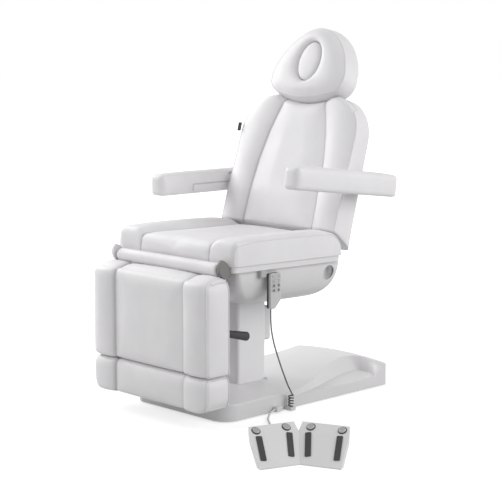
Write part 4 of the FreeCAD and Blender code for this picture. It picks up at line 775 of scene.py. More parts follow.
@dataclass
class SewnPad:
    """Upholstered pad: a closed lattice of panels, swelled between its pinned seams, with welts."""

    name: str
    node: str
    body: str
    across: list[float]
    along: list[float]
    through: list[float]
    seams: tuple[float, ...] = ()
    pressure: float = 3.0
    swell_frames: int = 18
    cap: float = 5.0
    fill: float = 0.85
    welt: float = 2.8
    # strength and width of the painted shade along the sewn channels
    seam_tone: float = 0.8
    seam_width: float = 3.5
    lattice: dict[LatticeKey, int] = field(default_factory=dict)

    def place(self, u: float, v: float, w: float) -> Vector:
        """Place of a lattice point, in metres: u across, v along, w from the face to the underside."""
        raise NotImplementedError

    def seam_distance(self, u: float, v: float, w: float) -> float:
        """Distance in millimetres to the nearest sewn channel of the face."""
        return NO_SEAM

    def on_channel(self, u: float) -> bool:
        """Whether a row across lies on a sewn channel."""
        return any(abs(u - seam) < 1e-6 for seam in self.seams)

    def held(self, u: float, v: float, w: float) -> bool:
        """Whether the point is sewn down or rests on the frame."""
        rim = (u in (0.0, 1.0) or v in (0.0, 1.0)) and w == 0.0
        return rim or w == 1.0 or (w == 0.0 and self.on_channel(u))

    def face_ring(self, k: int) -> list[LatticeKey]:
        """Lattice line round the pad at one level, from the face at nought to the underside."""
        last_u, last_v = len(self.across) - 1, len(self.along) - 1
        ring = [(i, 0, k) for i in range(last_u)] + [(last_u, j, k) for j in range(last_v)]
        ring += [(i, last_v, k) for i in range(last_u, 0, -1)]
        ring += [(0, j, k) for j in range(last_v, 0, -1)]
        return ring

    def side_rings(self) -> list[list[LatticeKey]]:
        """Lattice lines round the two side panels."""
        last_v, last_w = len(self.along) - 1, len(self.through) - 1
        rings = []
        for i in (0, len(self.across) - 1):
            ring = [(i, j, 0) for j in range(last_v)] + [(i, last_v, k) for k in range(last_w)]
            ring += [(i, j, last_w) for j in range(last_v, 0, -1)]
            ring += [(i, 0, k) for k in range(last_w, 0, -1)]
            rings.append(ring)
        return rings

    def welts(self) -> list[list[LatticeKey]]:
        """Lattice lines that carry a welt: the rim of the face."""
        return [self.face_ring(0)]

    def shell(self) -> bpy.types.Object:
        """Closed quad mesh of the lattice's outer faces.

        Returns:
            The mesh object.
        """
        points: list[Vector] = []
        faces: list[tuple[int, ...]] = []
        nu, nv, nw = len(self.across) - 1, len(self.along) - 1, len(self.through) - 1

        def vertex(key: LatticeKey) -> int:
            """Number of a lattice point, made when first asked for."""
            if key not in self.lattice:
                self.lattice[key] = len(points)
                i, j, k = key
                points.append(self.place(self.across[i], self.along[j], self.through[k]))
            return self.lattice[key]

        def quad(*corners: LatticeKey) -> None:
            """Face between four lattice points."""
            faces.append(tuple(vertex(corner) for corner in corners))

        for i in range(nu):
            for j in range(nv):
                for k in (0, nw):
                    quad((i, j, k), (i + 1, j, k), (i + 1, j + 1, k), (i, j + 1, k))
        for k in range(nw):
            for i in range(nu):
                for j in (0, nv):
                    quad((i, j, k), (i + 1, j, k), (i + 1, j, k + 1), (i, j, k + 1))
            for j in range(nv):
                for i in (0, nu):
                    quad((i, j, k), (i, j + 1, k), (i, j + 1, k + 1), (i, j, k + 1))
        obj = Tools.from_faces(self.name, points, faces)
        Tools.outward(obj, merge=False)
        return obj

    def swell(self, obj: bpy.types.Object) -> None:
        """Lets cloth under pressure swell between the held points, then keeps its shape."""
        group = obj.vertex_groups.new(name="held")
        for (i, j, k), number in self.lattice.items():
            if self.held(self.across[i], self.along[j], self.through[k]):
                group.add([number], 1.0, "REPLACE")
        rest = [vertex.co.copy() for vertex in obj.data.vertices]
        cloth = obj.modifiers.new("Swell", "CLOTH")
        settings = cloth.settings
        settings.vertex_group_mass = "held"
        settings.use_pressure = True
        settings.uniform_pressure_force = self.pressure
        settings.effector_weights.gravity = 0.0
        settings.quality = 5
        settings.mass = 0.25
        settings.tension_stiffness = 25.0
        settings.compression_stiffness = 12.0
        settings.shear_stiffness = 6.0
        settings.bending_stiffness = 1.2
        cloth.collision_settings.use_collision = False
        scene = bpy.context.scene
        for frame in range(1, self.swell_frames + 1):
            scene.frame_set(frame)
        moved = obj.evaluated_get(bpy.context.evaluated_depsgraph_get()).to_mesh()
        places = [vertex.co.copy() for vertex in moved.vertices]
        obj.modifiers.remove(cloth)
        scene.frame_set(1)
        for vertex, old, new in zip(obj.data.vertices, rest, places):
            step = new - old
            if step.length > self.cap * MM:
                step.length = self.cap * MM
            vertex.co = old + step
        obj.data.update()

    def mark_seams(self, obj: bpy.types.Object) -> None:
        """Writes how deep each point lies in a sewn channel, as the strength of the painted shade there."""
        shade = obj.data.attributes.new("seam", "FLOAT", "POINT")
        for (i, j, k), number in self.lattice.items():
            distance = self.seam_distance(self.across[i], self.along[j], self.through[k])
            shade.data[number].value = self.seam_tone * bump(distance, self.seam_width)

    def build(self) -> None:
        """Makes, swells, finishes and registers the pad."""
        obj = self.shell()
        self.mark_seams(obj)
        self.swell(obj)
        lines = [[obj.data.vertices[self.lattice[key]].co.copy() for key in ring] for ring in self.welts()]
        Upholstery.cover(obj)
        cords = [Upholstery.welt("%s_welt_%d" % (self.name, index), line, self.welt)
                 for index, line in enumerate(lines)]
        if cords:
            obj = Tools.join(obj, cords)
        Upholstery.register(obj, self.node, self.body, self.fill)


@dataclass
class LegPad(SewnPad):
    """Calf or foot pad: three stuffed upright panels on a flat board, with welted sides."""

    half_width: float = 300.0
    rim_y: float = -552.0
    rear_y: float = -457.5
    thickness: float = 82.0
    row: float = 13.0
    low: float = 188.0
    high: float = 506.0
    seam_x: float = 181.0
    channel_width: float = 9.0
    channel_depth: float = 3.0
    corner: float = 8.0
    crest: float = 7.0
    bolster: float = 17.0
    plan: float = 8.0
    ease: float = 13.0
    top_ease: float = 26.0
    top_corner: float = 32.0
    top_channel: float = 4.0
    crown: float = 2.5
    bow: float = 2.5
    pucker: float = 0.8
    pucker_width: float = 26.0

    @classmethod
    def sized(cls, name: str, node: str, body: str, span: Pair, corner: float, crown: float) -> LegPad:
        """Pad between two heights.

        Args:
            name: name of the piece.
            node: solid that it stands for.
            body: body that it moves with.
            span: heights of its lower and upper end.
            corner: radius of its lower corners.
            crown: how far its top swells up.

        Returns:
            The pad, ready to build.
        """
        low, high = span
        width, first, last = 2 * cls.half_width, cls.half_width - cls.seam_x, cls.half_width + cls.seam_x
        across = stations(width, cls.row, fine=(first, last), near=(4.0, 10.0, 18.0))
        along = stations(high - low, cls.row, near=(2.5, 7.0, 13.0))
        through = stations(cls.thickness, cls.row)
        return cls(name, node, body, across, along, through, seams=(first / width, last / width),
                   low=low, high=high, corner=corner, crown=crown)

    def welts(self) -> list[list[LatticeKey]]:
        """Lattice lines that carry a welt: the border of each side panel."""
        return self.side_rings()

    def seam_distance(self, u: float, v: float, w: float) -> float:
        """Distance to the two upright channels, which run over the top."""
        x = abs((2 * u - 1) * self.half_width)
        return abs(x - self.seam_x) if w == 0.0 or v == 1.0 else NO_SEAM

    def place(self, u: float, v: float, w: float) -> Vector:
        """Plump front with two sewn channels, eased top and lower edge, slightly bowed sides."""
        x = (2 * u - 1) * self.half_width
        half_z = (self.high - self.low) / 2
        z = (2 * v - 1) * half_z
        gap = abs(x) - self.seam_x
        if gap > 0:
            panel = pillow(mix(0.05, 1.0, gap / (self.half_width - self.seam_x)))
        else:
            panel = pillow(0.5 + x / (2 * self.seam_x)) ** 0.7
        channel = bump(gap, self.channel_width)
        edge = edge_drop((1 - v) * 2 * half_z, self.top_ease) + edge_drop(v * 2 * half_z, self.ease)
        swelling = (self.bolster if gap > 0 else self.crest) * panel
        front = self.rim_y - swelling + self.channel_depth * channel + edge
        ripple = noise.noise(Vector((x * 0.004, z * 0.07, self.low)))
        front += self.pucker * bump(gap, self.pucker_width) * ripple
        belly = math.sin(math.pi * w) * math.sin(math.pi * v)
        if gap > 0:
            pull = edge_drop(w * (self.rear_y - self.rim_y), self.plan) / (self.half_width - self.seam_x)
            x = math.copysign(self.seam_x + gap * (1 - pull), x)
        x, z = round_corner(x, z, self.half_width, half_z, self.corner if z < 0 else self.top_corner)
        if u in (0.0, 1.0):
            x += math.copysign(self.bow * belly, x)
        if v == 1.0:
            arch = math.sin(math.pi * clamp(w * 0.85)) * (0.3 + 0.7 * panel)
            z += self.crown * arch - self.top_channel * channel
        return Vector((x, mix(front, self.rear_y, w), (self.low + self.high) / 2 + z)) * MM


@dataclass
class SeatPad(SewnPad):
    """Seat cushion: a middle panel between two raised bolsters, rolled down at the rear."""

    half_width: float = 303.0
    front_y: float = -434.0
    rear_y: float = 90.0
    thickness: float = 84.0
    bottom: float = 548.6
    bolster: float = 636.0
    middle: float = 620.0
    seam_x: float = 178.0
    sink: float = 6.0
    middle_crown: float = 8.0
    bolster_run: float = 46.0
    outer_fall: float = 4.0
    outer_start: float = 60.0
    outer_run: float = 65.0
    channel_depth: float = 2.5
    channel_width: float = 5.0
    front_channel_depth: float = 4.0
    front_channel_width: float = 6.0
    front_ease: float = 27.0
    side_ease_front: float = 17.0
    side_ease_rear: float = 7.0
    side_ease_run: float = 90.0
    rear_roll: float = 70.0
    deepest: float = 74.0
    bolster_crown: float = 3.0
    bolster_crown_run: float = 60.0
    front_corner: float = 22.0
    rear_corner: float = 8.0
    bulge: float = 2.5
    side_bulge_share: float = 0.6
    slope: float = 1.2
    slope_z: float = 548.0

    @classmethod
    def made(cls) -> SeatPad:
        """Seat cushion with rows set for its two channels."""
        width, first, last = 2 * cls.half_width, cls.half_width - cls.seam_x, cls.half_width + cls.seam_x
        across = stations(width, 14.0, fine=(first, last), near=(3.0, 7.0, 12.0, 20.0))
        along = stations(cls.rear_y - cls.front_y, 15.0, near=(2.5, 7.0, 13.0, 21.0, 32.0, 46.0, 60.0))
        through = stations(cls.thickness, 14.0, near=(3.0, 9.0))
        return cls("seat_pad", "seat_cushion", "seat", across, along, through, welt=1.5,
                   seams=(first / width, last / width))

    def seam_distance(self, u: float, v: float, w: float) -> float:
        """Distance to the two channels that run over the top and down the front."""
        x = abs((2 * u - 1) * self.half_width)
        return abs(x - self.seam_x) if w == 0.0 or v == 0.0 else NO_SEAM

    def held(self, u: float, v: float, w: float) -> bool:
        """Sewn along the channels and the side panels' seams, and tucked in along the bottom."""
        channel = self.on_channel(u) and (w == 0.0 or v == 0.0)
        return w == 1.0 or channel or (w == 0.0 and u in (0.0, 1.0))

    def welts(self) -> list[list[LatticeKey]]:
        """Welt round the lower edge, and round each side panel."""
        return [self.face_ring(len(self.through) - 1)] + self.side_rings()

    def top(self, x: float) -> float:
        """Height of the upper face across the seat, before its edges are eased."""
        gap = abs(x) - self.seam_x
        if gap > 0:
            rise = math.sin(math.pi / 2 * clamp(gap / self.bolster_run)) ** 0.8
            fall = self.outer_fall * clamp((gap - self.outer_start) / self.outer_run) ** 2
            return mix(self.middle - self.sink, self.bolster, rise) - fall
        return self.middle - self.sink + self.middle_crown * pillow(0.5 + x / (2 * self.seam_x)) ** 0.6

    def place(self, u: float, v: float, w: float) -> Vector:
        """Top with bolsters and channels, sides down to the pan, all at the seat's slight fall."""
        half_y = (self.rear_y - self.front_y) / 2
        x, y = (2 * u - 1) * self.half_width, (2 * v - 1) * half_y
        gap = abs(x) - self.seam_x
        side, front, rear = self.half_width - abs(x), y + half_y, half_y - y
        top = self.top(x) - self.channel_depth * bump(gap, self.channel_width)
        side_ease = mix(self.side_ease_front, self.side_ease_rear, clamp(front / self.side_ease_run))
        fall = math.hypot(edge_drop(front, self.front_ease), edge_drop(side, side_ease))
        crown = self.bolster_crown * math.sin(math.pi * v) * clamp(gap / self.bolster_crown_run)
        top += crown - min(self.deepest, fall + edge_drop(rear, self.rear_roll))
        x, y = round_corner(x, y, self.half_width, half_y, self.front_corner if y < 0 else self.rear_corner)
        z = mix(top, self.bottom, w)
        bulge = self.bulge * math.sin(math.pi * w)
        if u in (0.0, 1.0):
            x += math.copysign(bulge * self.side_bulge_share, x)
        if v == 0.0:
            y -= bulge - self.front_channel_depth * bump(gap, self.front_channel_width) * (1 - w)
        y += self.front_y + half_y
        turn = math.radians(-self.slope)
        dy, dz = y - self.front_y, z - self.slope_z
        return Vector((x, self.front_y + dy * math.cos(turn) - dz * math.sin(turn),
                       self.slope_z + dy * math.sin(turn) + dz * math.cos(turn))) * MM


@dataclass
class BackPad(SewnPad):
    """Backrest: a flat tapering middle panel between round bolsters that run over the shoulders."""

    half_width: float = 291.0
    mean_half: float = 285.0
    length: float = 520.0
    face_length: float = 500.0
    depth: float = 131.0
    shoulder_h: float = 355.0
    shoulder: float = 150.0
    dip_h: float = 475.0
    low_front: float = 9.0
    low_rear: float = -41.0
    seam_share: float = 0.60
    seam_line: tuple[Pair, ...] = ((0.0, 178.0), (0.15, 176.0), (0.3, 172.0), (0.5, 165.0),
                                   (0.72, 143.0), (0.86, 122.0), (1.0, 99.0))
    bend: tuple[Pair, ...] = ((0.0, 1.0), (130.0, 4.0), (250.0, 13.0), (370.0, 20.0), (520.0, 30.0))
    middle_back: float = 9.0
    channel_back: float = 15.0
    side_back: float = 13.0
    crest_share: float = 0.4
    channel_depth: float = 2.0
    channel_width: float = 6.0
    top_ease: float = 24.0
    low_ease: float = 9.0
    rear_round: float = 38.0
    top_round: float = 14.0

    @classmethod
    def made(cls) -> BackPad:
        """Back cushion with rows set for its channels."""
        first, last = 1 - cls.seam_share, 1 + cls.seam_share
        across = stations(2 * cls.half_width, 13.0, fine=(cls.half_width * first, cls.half_width * last),
                          near=(3.0, 7.0, 13.0, 20.0))
        along = stations(cls.length, 14.0, near=(3.0, 8.0, 15.0, 24.0))
        through = stations(cls.depth, 14.0, near=(3.0, 8.0, 16.0, 25.0))
        return cls("back_pad", "back_cushion", "back", across, along, through, welt=1.4,
                   seams=(first / 2, last / 2))

    @staticmethod
    def along_line(line: Sequence[Pair], at: float) -> float:
        """Value read from a line of places and values, straight between them."""
        for (a, first), (b, last) in zip(line, line[1:]):
            if at <= b:
                return mix(first, last, clamp((at - a) / (b - a)))
        return line[-1][1]

    def seam_distance(self, u: float, v: float, w: float) -> float:
        """Distance to the two channels of the front face."""
        return abs(abs(2 * u - 1) - self.seam_share) * self.mean_half if w == 0.0 else NO_SEAM

    def past_seam(self, t: float) -> float:
        """Share of the way from the channel to the side."""
        return (t - self.seam_share) / (1 - self.seam_share)

    def top_line(self, t: float) -> Pair:
        """Top edge from the middle to a shoulder, dipped in the middle."""
        arc_x, arc_h = self.half_width - self.shoulder, self.shoulder_h
        seam = self.seam_line[-1][1]
        if t <= self.seam_share:
            x = seam * t / self.seam_share
        else:
            along = self.past_seam(t) * (arc_x - seam + self.shoulder * math.pi / 4)
            if along > arc_x - seam:
                angle = math.pi / 2 - (along - (arc_x - seam)) / self.shoulder
                return arc_x + self.shoulder * math.cos(angle), arc_h + self.shoulder * math.sin(angle)
            x = seam + along
        return x, mix(self.dip_h, arc_h + self.shoulder, (x / arc_x) ** 2)

    def side_line(self, v: float, low: float) -> Pair:
        """Side edge from the bottom to the middle of the shoulder."""
        straight = self.shoulder_h - low
        along = v * (straight + self.shoulder * math.pi / 4)
        if along <= straight:
            return self.half_width, low + along
        angle = (along - straight) / self.shoulder
        x = self.half_width - self.shoulder * (1 - math.cos(angle))
        return x, self.shoulder_h + self.shoulder * math.sin(angle)

    def outline(self, t: float, v: float, low: float) -> Pair:
        """Point of one half of the outline, spread between the middle, the channel and the side."""
        side_x, side_h = self.side_line(v, low)
        top_x, top_h = self.top_line(t)
        end_x, end_h = self.side_line(1.0, low)
        seam = self.along_line(self.seam_line, v)
        if t <= self.seam_share:
            x = seam * t / self.seam_share
        else:
            s = self.past_seam(t)
            x = mix(seam, side_x, s)
            x += v ** 3 * (top_x - mix(self.seam_line[-1][1], end_x, s))
        return x, mix(low, top_h, v) + t * (side_h - mix(low, end_h, v))

    def swelling(self, t: float) -> float:
        """How far the face lies behind the crests of the bolsters."""
        if t <= self.seam_share:
            return self.middle_back + (self.channel_back - self.middle_back) * (t / self.seam_share) ** 5
        s = self.past_seam(t)
        if s < self.crest_share:
            return self.channel_back * (1 - math.sin(math.pi / 2 * s / self.crest_share)) ** 1.1
        return self.side_back * ((s - self.crest_share) / (1 - self.crest_share)) ** 2.4

    def place(self, u: float, v: float, w: float) -> Vector:
        """Front face with channels and bolsters, sides rounded over to the rear board."""
        t = abs(2 * u - 1)
        x, h = self.outline(t, v, mix(self.low_front, self.low_rear, w))
        channel = self.channel_depth * bump(self.seam_distance(u, v, 0.0), self.channel_width)
        front = self.along_line(self.bend, h) + self.swelling(t) + channel
        front += (edge_drop((1 - v) * self.face_length, self.top_ease)
                  + edge_drop(v * self.face_length, self.low_ease))
        d = mix(front, self.depth, w)
        x -= edge_drop(self.depth - d, self.rear_round) * t ** 2
        h -= edge_drop(self.depth - d, self.top_round) * v ** 8
        return LEAN.point(math.copysign(x, u - 0.5), d, h)


@dataclass
class ArmPad(SewnPad):
    """Armrest: a long block with soft edges and a sewn inner panel, on its own small tilt."""

    side: int = 1
    rise: float = 7.0
    lift: float = 12.0
    far_rise: float = 0.1
    far_lift: float = -13.0
    inner_x: float = 309.5
    width: float = 72.5
    front_y: float = -206.0
    rear_y: float = 290.0
    bottom: float = 732.0
    height: float = 79.0
    crown: float = 2.5
    plan_corner: float = 24.0
    end_growth: float = 16.0
    end_run: float = 90.0
    upper_round: float = 19.0
    lower_round: float = 15.0
    bow: float = 1.5
    panel_y: float = -67.0
    panel_share: float = 0.55
    seam_depth: float = 2.2
    seam_spread: float = 2.5
    pivot_y: float = 203.0
    pivot_z: float = 771.0

    @classmethod
    def made(cls, side: int) -> ArmPad:
        """Armrest of one side: 1 is the sitter's left."""
        word = "left" if side > 0 else "right"
        across = stations(cls.width, 12.0, near=(2.0, 6.0, 12.0))
        along = stations(cls.rear_y - cls.front_y, 14.0, fine=(cls.panel_y - cls.front_y,),
                         near=(2.0, 5.0, 10.0, 17.0))
        through = stations(cls.height, 11.0, fine=(cls.height * cls.panel_share,), near=(2.0, 6.0))
        rise, lift = (cls.rise, cls.lift) if side > 0 else (cls.far_rise, cls.far_lift)
        return cls("arm_pad_%s_cover" % word, "arm_pad_" + word, "arm_" + word, across, along, through,
                   side=side, rise=rise, lift=lift, pressure=2.5, cap=3.0)

    def held(self, u: float, v: float, w: float) -> bool:
        """Sewn along the edges of the top and of the underside, flat inside."""
        rim = u in (0.0, 1.0) or v in (0.0, 1.0)
        return w == 1.0 or (w == 0.0 and rim) or u == 0.0

    def welts(self) -> list[list[LatticeKey]]:
        """None: the cover is drawn smoothly over the edges."""
        return []

    def seam_distance(self, u: float, v: float, w: float) -> float:
        """Distance to the seams of the inner face's panel."""
        if u > 0.0:
            return NO_SEAM
        y, drop = mix(self.front_y, self.rear_y, v), w * self.height
        upright = abs(y - self.panel_y) if w >= self.panel_share - 0.01 else NO_SEAM
        level = abs(drop - self.panel_share * self.height) if y >= self.panel_y - 1 else NO_SEAM
        return min(upright, level)

    def place(self, u: float, v: float, w: float) -> Vector:
        """Block with rounded ends and edges, turned on its pivot."""
        half_y, half_x = (self.rear_y - self.front_y) / 2, self.width / 2
        x, y = (2 * u - 1) * half_x, (2 * v - 1) * half_y
        edge = min(half_x - abs(x), half_y - abs(y))
        x, y = round_corner(x, y, half_x, half_y, self.plan_corner)
        y += math.copysign(self.end_growth * clamp((abs(y) - half_y + self.end_run) / self.end_run), y)
        upper = self.bottom + self.height + self.crown - edge_drop(edge, self.upper_round)
        lower = self.bottom + edge_drop(edge, self.lower_round)
        z = mix(upper, lower, w) + self.lift
        if u in (0.0, 1.0):
            x += math.copysign(self.bow * math.sin(math.pi * w), x)
        if u == 0.0:
            x += self.seam_depth * bump(self.seam_distance(u, v, w), self.seam_spread)
        point = Vector((self.side * (self.inner_x + half_x + x), self.front_y + half_y + y, z))
        pivot = Vector((point.x, self.pivot_y, self.pivot_z))
        turn = Matrix.Rotation(math.radians(-self.rise), 3, "X")
        return (pivot + turn @ (point - pivot)) * MM


@dataclass
class HeadPad:
    """Headrest: a plump rounded triangle with an oval face opening, and the plug that closes it."""

    front_d: float = 7.0
    welt_d: float = 30.0
    rear_d: float = 103.7
    centre_h: float = 615.0
    flare: float = 13.0
    rear_round: float = 16.0
    dish: float = 9.0
    dish_share: float = 0.26
    roll_share: float = 0.3
    welt_radius: float = 1.4
    fill: float = 0.9
    count: int = 132
    hole: Pair = (53.0, 77.0)
    throat: tuple[float, ...] = (85.0, 60.0, 40.0, 26.0)
    lip: Pair = (0.012, 19.0)
    tuck: Pair = (0.972, 2.6)
    rear_shares: Pair = (0.7, 0.4)
    bottom_h: float = 478.0
    top_h: float = 748.0
    corner: Pair = (150.0, 503.0)
    corner_mid: Pair = (174.0, 524.0)
    flank: Pair = (183.0, 561.0)
    flank_mid: Pair = (151.0, 650.0)
    crown: Pair = (62.0, 731.0)
    low_mid: Pair = (0.55, 0.28)
    high_mid: Pair = (0.5, 0.76)
    plug: Pair = (52.2, 76.2)
    plug_count: int = 96
    plug_front: float = 9.0
    plug_short: float = 8.0
    plug_face: tuple[Pair, ...] = ((0.25, 9.2), (0.5, 9.8), (0.7, 10.8), (0.84, 12.6), (0.93, 15.0),
                                   (0.985, 19.0), (1.0, 25.0), (1.0, 40.0), (1.0, 70.0))

    @staticmethod
    def arc(first: Pair, middle: Pair, last: Pair, steps: int) -> list[Pair]:
        """Points on the circle through three points.

        Args:
            first: start of the arc.
            middle: any point between.
            last: end of the arc.
            steps: number of steps.

        Returns:
            The points, both ends among them.
        """
        (ax, ay), (bx, by), (cx, cy) = first, middle, last
        d = 2 * (ax * (by - cy) + bx * (cy - ay) + cx * (ay - by))
        a2, b2, c2 = ax ** 2 + ay ** 2, bx ** 2 + by ** 2, cx ** 2 + cy ** 2
        ux = (a2 * (by - cy) + b2 * (cy - ay) + c2 * (ay - by)) / d
        uy = (a2 * (cx - bx) + b2 * (ax - cx) + c2 * (bx - ax)) / d
        radius = math.hypot(ax - ux, ay - uy)
        start, mid, end = (math.atan2(y - uy, x - ux) for x, y in (first, middle, last))
        span = (end - start) % (2 * math.pi)
        if (mid - start) % (2 * math.pi) > span:
            span -= 2 * math.pi
        angles = [start + span * index / steps for index in range(steps + 1)]
        return [(ux + radius * math.cos(angle), uy + radius * math.sin(angle)) for angle in angles]

    def rim(self) -> list[Pair]:
        """Outer outline, as seen from the opening's middle at even angles.

        Returns:
            Outline points, starting to the right and going round.
        """
        low = (self.corner[0] * self.low_mid[0], mix(self.bottom_h, self.corner[1], self.low_mid[1]))
        high = (self.crown[0] * self.high_mid[0], mix(self.crown[1], self.top_h, self.high_mid[1]))
        right = self.arc((0.0, self.bottom_h), low, self.corner, 24)
        right += self.arc(self.corner, self.corner_mid, self.flank, 12)
        right += self.arc(self.flank, self.flank_mid, self.crown, 40)
        right += self.arc(self.crown, high, (0.0, self.top_h), 14)
        loop = right + [(-x, h) for x, h in reversed(right)]
        turn = 2 * math.pi
        polar = sorted((math.atan2(h - self.centre_h, x) % turn, math.hypot(x, h - self.centre_h))
                       for x, h in loop)
        polar = [(polar[-1][0] - turn, polar[-1][1])] + polar + [(polar[0][0] + turn, polar[0][1])]
        points, at = [], 0
        for index in range(self.count):
            angle = turn * index / self.count
            while polar[at + 1][0] < angle:
                at += 1
            (a, ra), (b, rb) = polar[at], polar[at + 1]
            radius = mix(ra, rb, (angle - a) / (b - a) if b > a else 0.0)
            points.append((radius * math.cos(angle), radius * math.sin(angle)))
        return points

    def section(self) -> list[Point]:
        """Round trip over the cushion's cross-section.

        Returns:
            Share from the opening to the outline, depth and outward shift of each row.
        """
        face_rows, side_rows = 15, 10
        rows = [(0.0, depth, 0.0) for depth in (self.rear_d, *self.throat)]
        rows.append((*self.lip, 0.0))
        for step in range(1, face_rows):
            share = step / face_rows
            depth = self.front_d + self.dish * max(0.0, 1 - share / self.dish_share) ** 1.7
            roll = max(0.0, (share - self.roll_share) / (1 - self.roll_share))
            rows.append((share, depth + (self.welt_d - self.front_d) * roll ** 2.3, 0.0))
        rows += [(self.tuck[0], self.welt_d - self.tuck[1], 0.0), (1.0, self.welt_d, 0.0)]
        for step in range(1, side_rows):
            share = step / side_rows
            depth = mix(self.welt_d, self.rear_d, share)
            swing = self.flare * (1 - (1 - share) ** 2)
            rows.append((1.0, depth, swing - edge_drop(self.rear_d - depth, self.rear_round)))
        rows.append((1.0, self.rear_d, self.flare - self.rear_round))
        rows += [(share, self.rear_d, 0.0) for share in self.rear_shares]
        return rows

    def cushion(self) -> None:
        """Padded ring round the opening, crowned in front and flat behind, with a fine welt."""
        section = self.section()
        points, faces, rows = [], [], len(section)
        for n, (ox, oh) in enumerate(self.rim()):
            angle = 2 * math.pi * n / self.count
            ix, ih = self.hole[0] * math.cos(angle), self.hole[1] * math.sin(angle)
            reach = math.hypot(ox, oh)
            for share, depth, shift in section:
                grow = 1 + shift / reach
                x, h = mix(ix, ox, share) * grow, mix(ih, oh, share) * grow
                points.append(HEAD_LEAN.point(x, depth, h + self.centre_h))
        for n in range(self.count):
            here, after = n * rows, (n + 1) % self.count * rows
            for m in range(rows):
                up = (m + 1) % rows
                faces.append((here + m, after + m, after + up, here + up))
        obj = Tools.from_faces("headrest_pad", points, faces)
        Tools.outward(obj)
        edge = section.index((1.0, self.welt_d, 0.0))
        line = [points[n * rows + edge] for n in range(self.count)]
        Upholstery.cover(obj, 70.0)
        obj = Tools.join(obj, [Upholstery.welt("headrest_welt", line, self.welt_radius)])
        Upholstery.register(obj, "headrest_cushion", "head", self.fill)

    def stopper(self) -> None:
        """Oval plug: crowned face with a sewn edge, straight sides."""
        count, rear_d = self.plug_count, self.rear_d - self.plug_short
        rings = [*self.plug_face, (0.99, rear_d), (0.6, rear_d)]
        points = []
        for share, depth in rings:
            for n in range(count):
                angle = 2 * math.pi * n / count
                points.append(HEAD_LEAN.point(self.plug[0] * share * math.cos(angle), depth,
                                              self.centre_h + self.plug[1] * share * math.sin(angle)))
        faces = Tools.ring_faces(len(rings), count)
        front, rear, last = len(points), len(points) + 1, (len(rings) - 1) * count
        points += [HEAD_LEAN.point(0.0, depth, self.centre_h) for depth in (self.plug_front, rear_d)]
        for n in range(count):
            after = (n + 1) % count
            faces += [(front, after, n), (rear, last + n, last + after)]
        obj = Tools.from_faces("face_plug_pad", points, faces)
        Tools.outward(obj)
        Upholstery.cover(obj)
        Upholstery.register(obj, "face_plug", "plug", self.fill)

    def build(self) -> None:
        """Makes the headrest and its plug."""
        self.cushion()
        self.stopper()


@dataclass
class FrontRoll:
    """Padded roll on the leg-rest hinge."""

    radius: float = 23.6
    half: float = 256.5
    axis_y: float = -458.0
    axis_z: float = 537.0
    gather: float = 0.5
    gather_end: float = 12.0
    end_line: tuple[Pair, ...] = ((0.0, 15.6), (0.0, 19.0), (1.2, 22.0), (4.0, 23.4))
    fill: float = 0.95

    def build(self) -> None:
        """Revolved roll with gathered ends."""
        count, steps, start, length = ROUND_SIDES, 60, self.gather_end, 2 * self.half
        end = [*self.end_line, (start, self.radius)]
        line = end + [(start + step * (length - 2 * start) / steps, self.radius)
                      for step in range(1, steps)]
        line += [(length - x, r) for x, r in reversed(end)]
        points = []
        for x, radius in line:
            for n in range(count):
                angle = 2 * math.pi * n / count
                cos, sin = math.cos(angle), math.sin(angle)
                ease = radius - self.gather * abs(noise.noise(Vector((x * 0.03, cos * 1.3, sin * 1.3))))
                spot = (x - self.half, self.axis_y + ease * cos, self.axis_z + ease * sin)
                points.append(Vector(spot) * MM)
        faces = Tools.ring_faces(len(line), count)
        last = (len(line) - 1) * count
        for n in range(count):
            after = (n + 1) % count
            faces.append((n, last + n, last + after, after))
        obj = Tools.from_faces("front_roll_pad", points, faces)
        Tools.outward(obj)
        Tools.smooth(obj, 50.0)
        FINISH.upholstery.dress(obj)
        Upholstery.register(obj, "front_roll", "seat", self.fill)


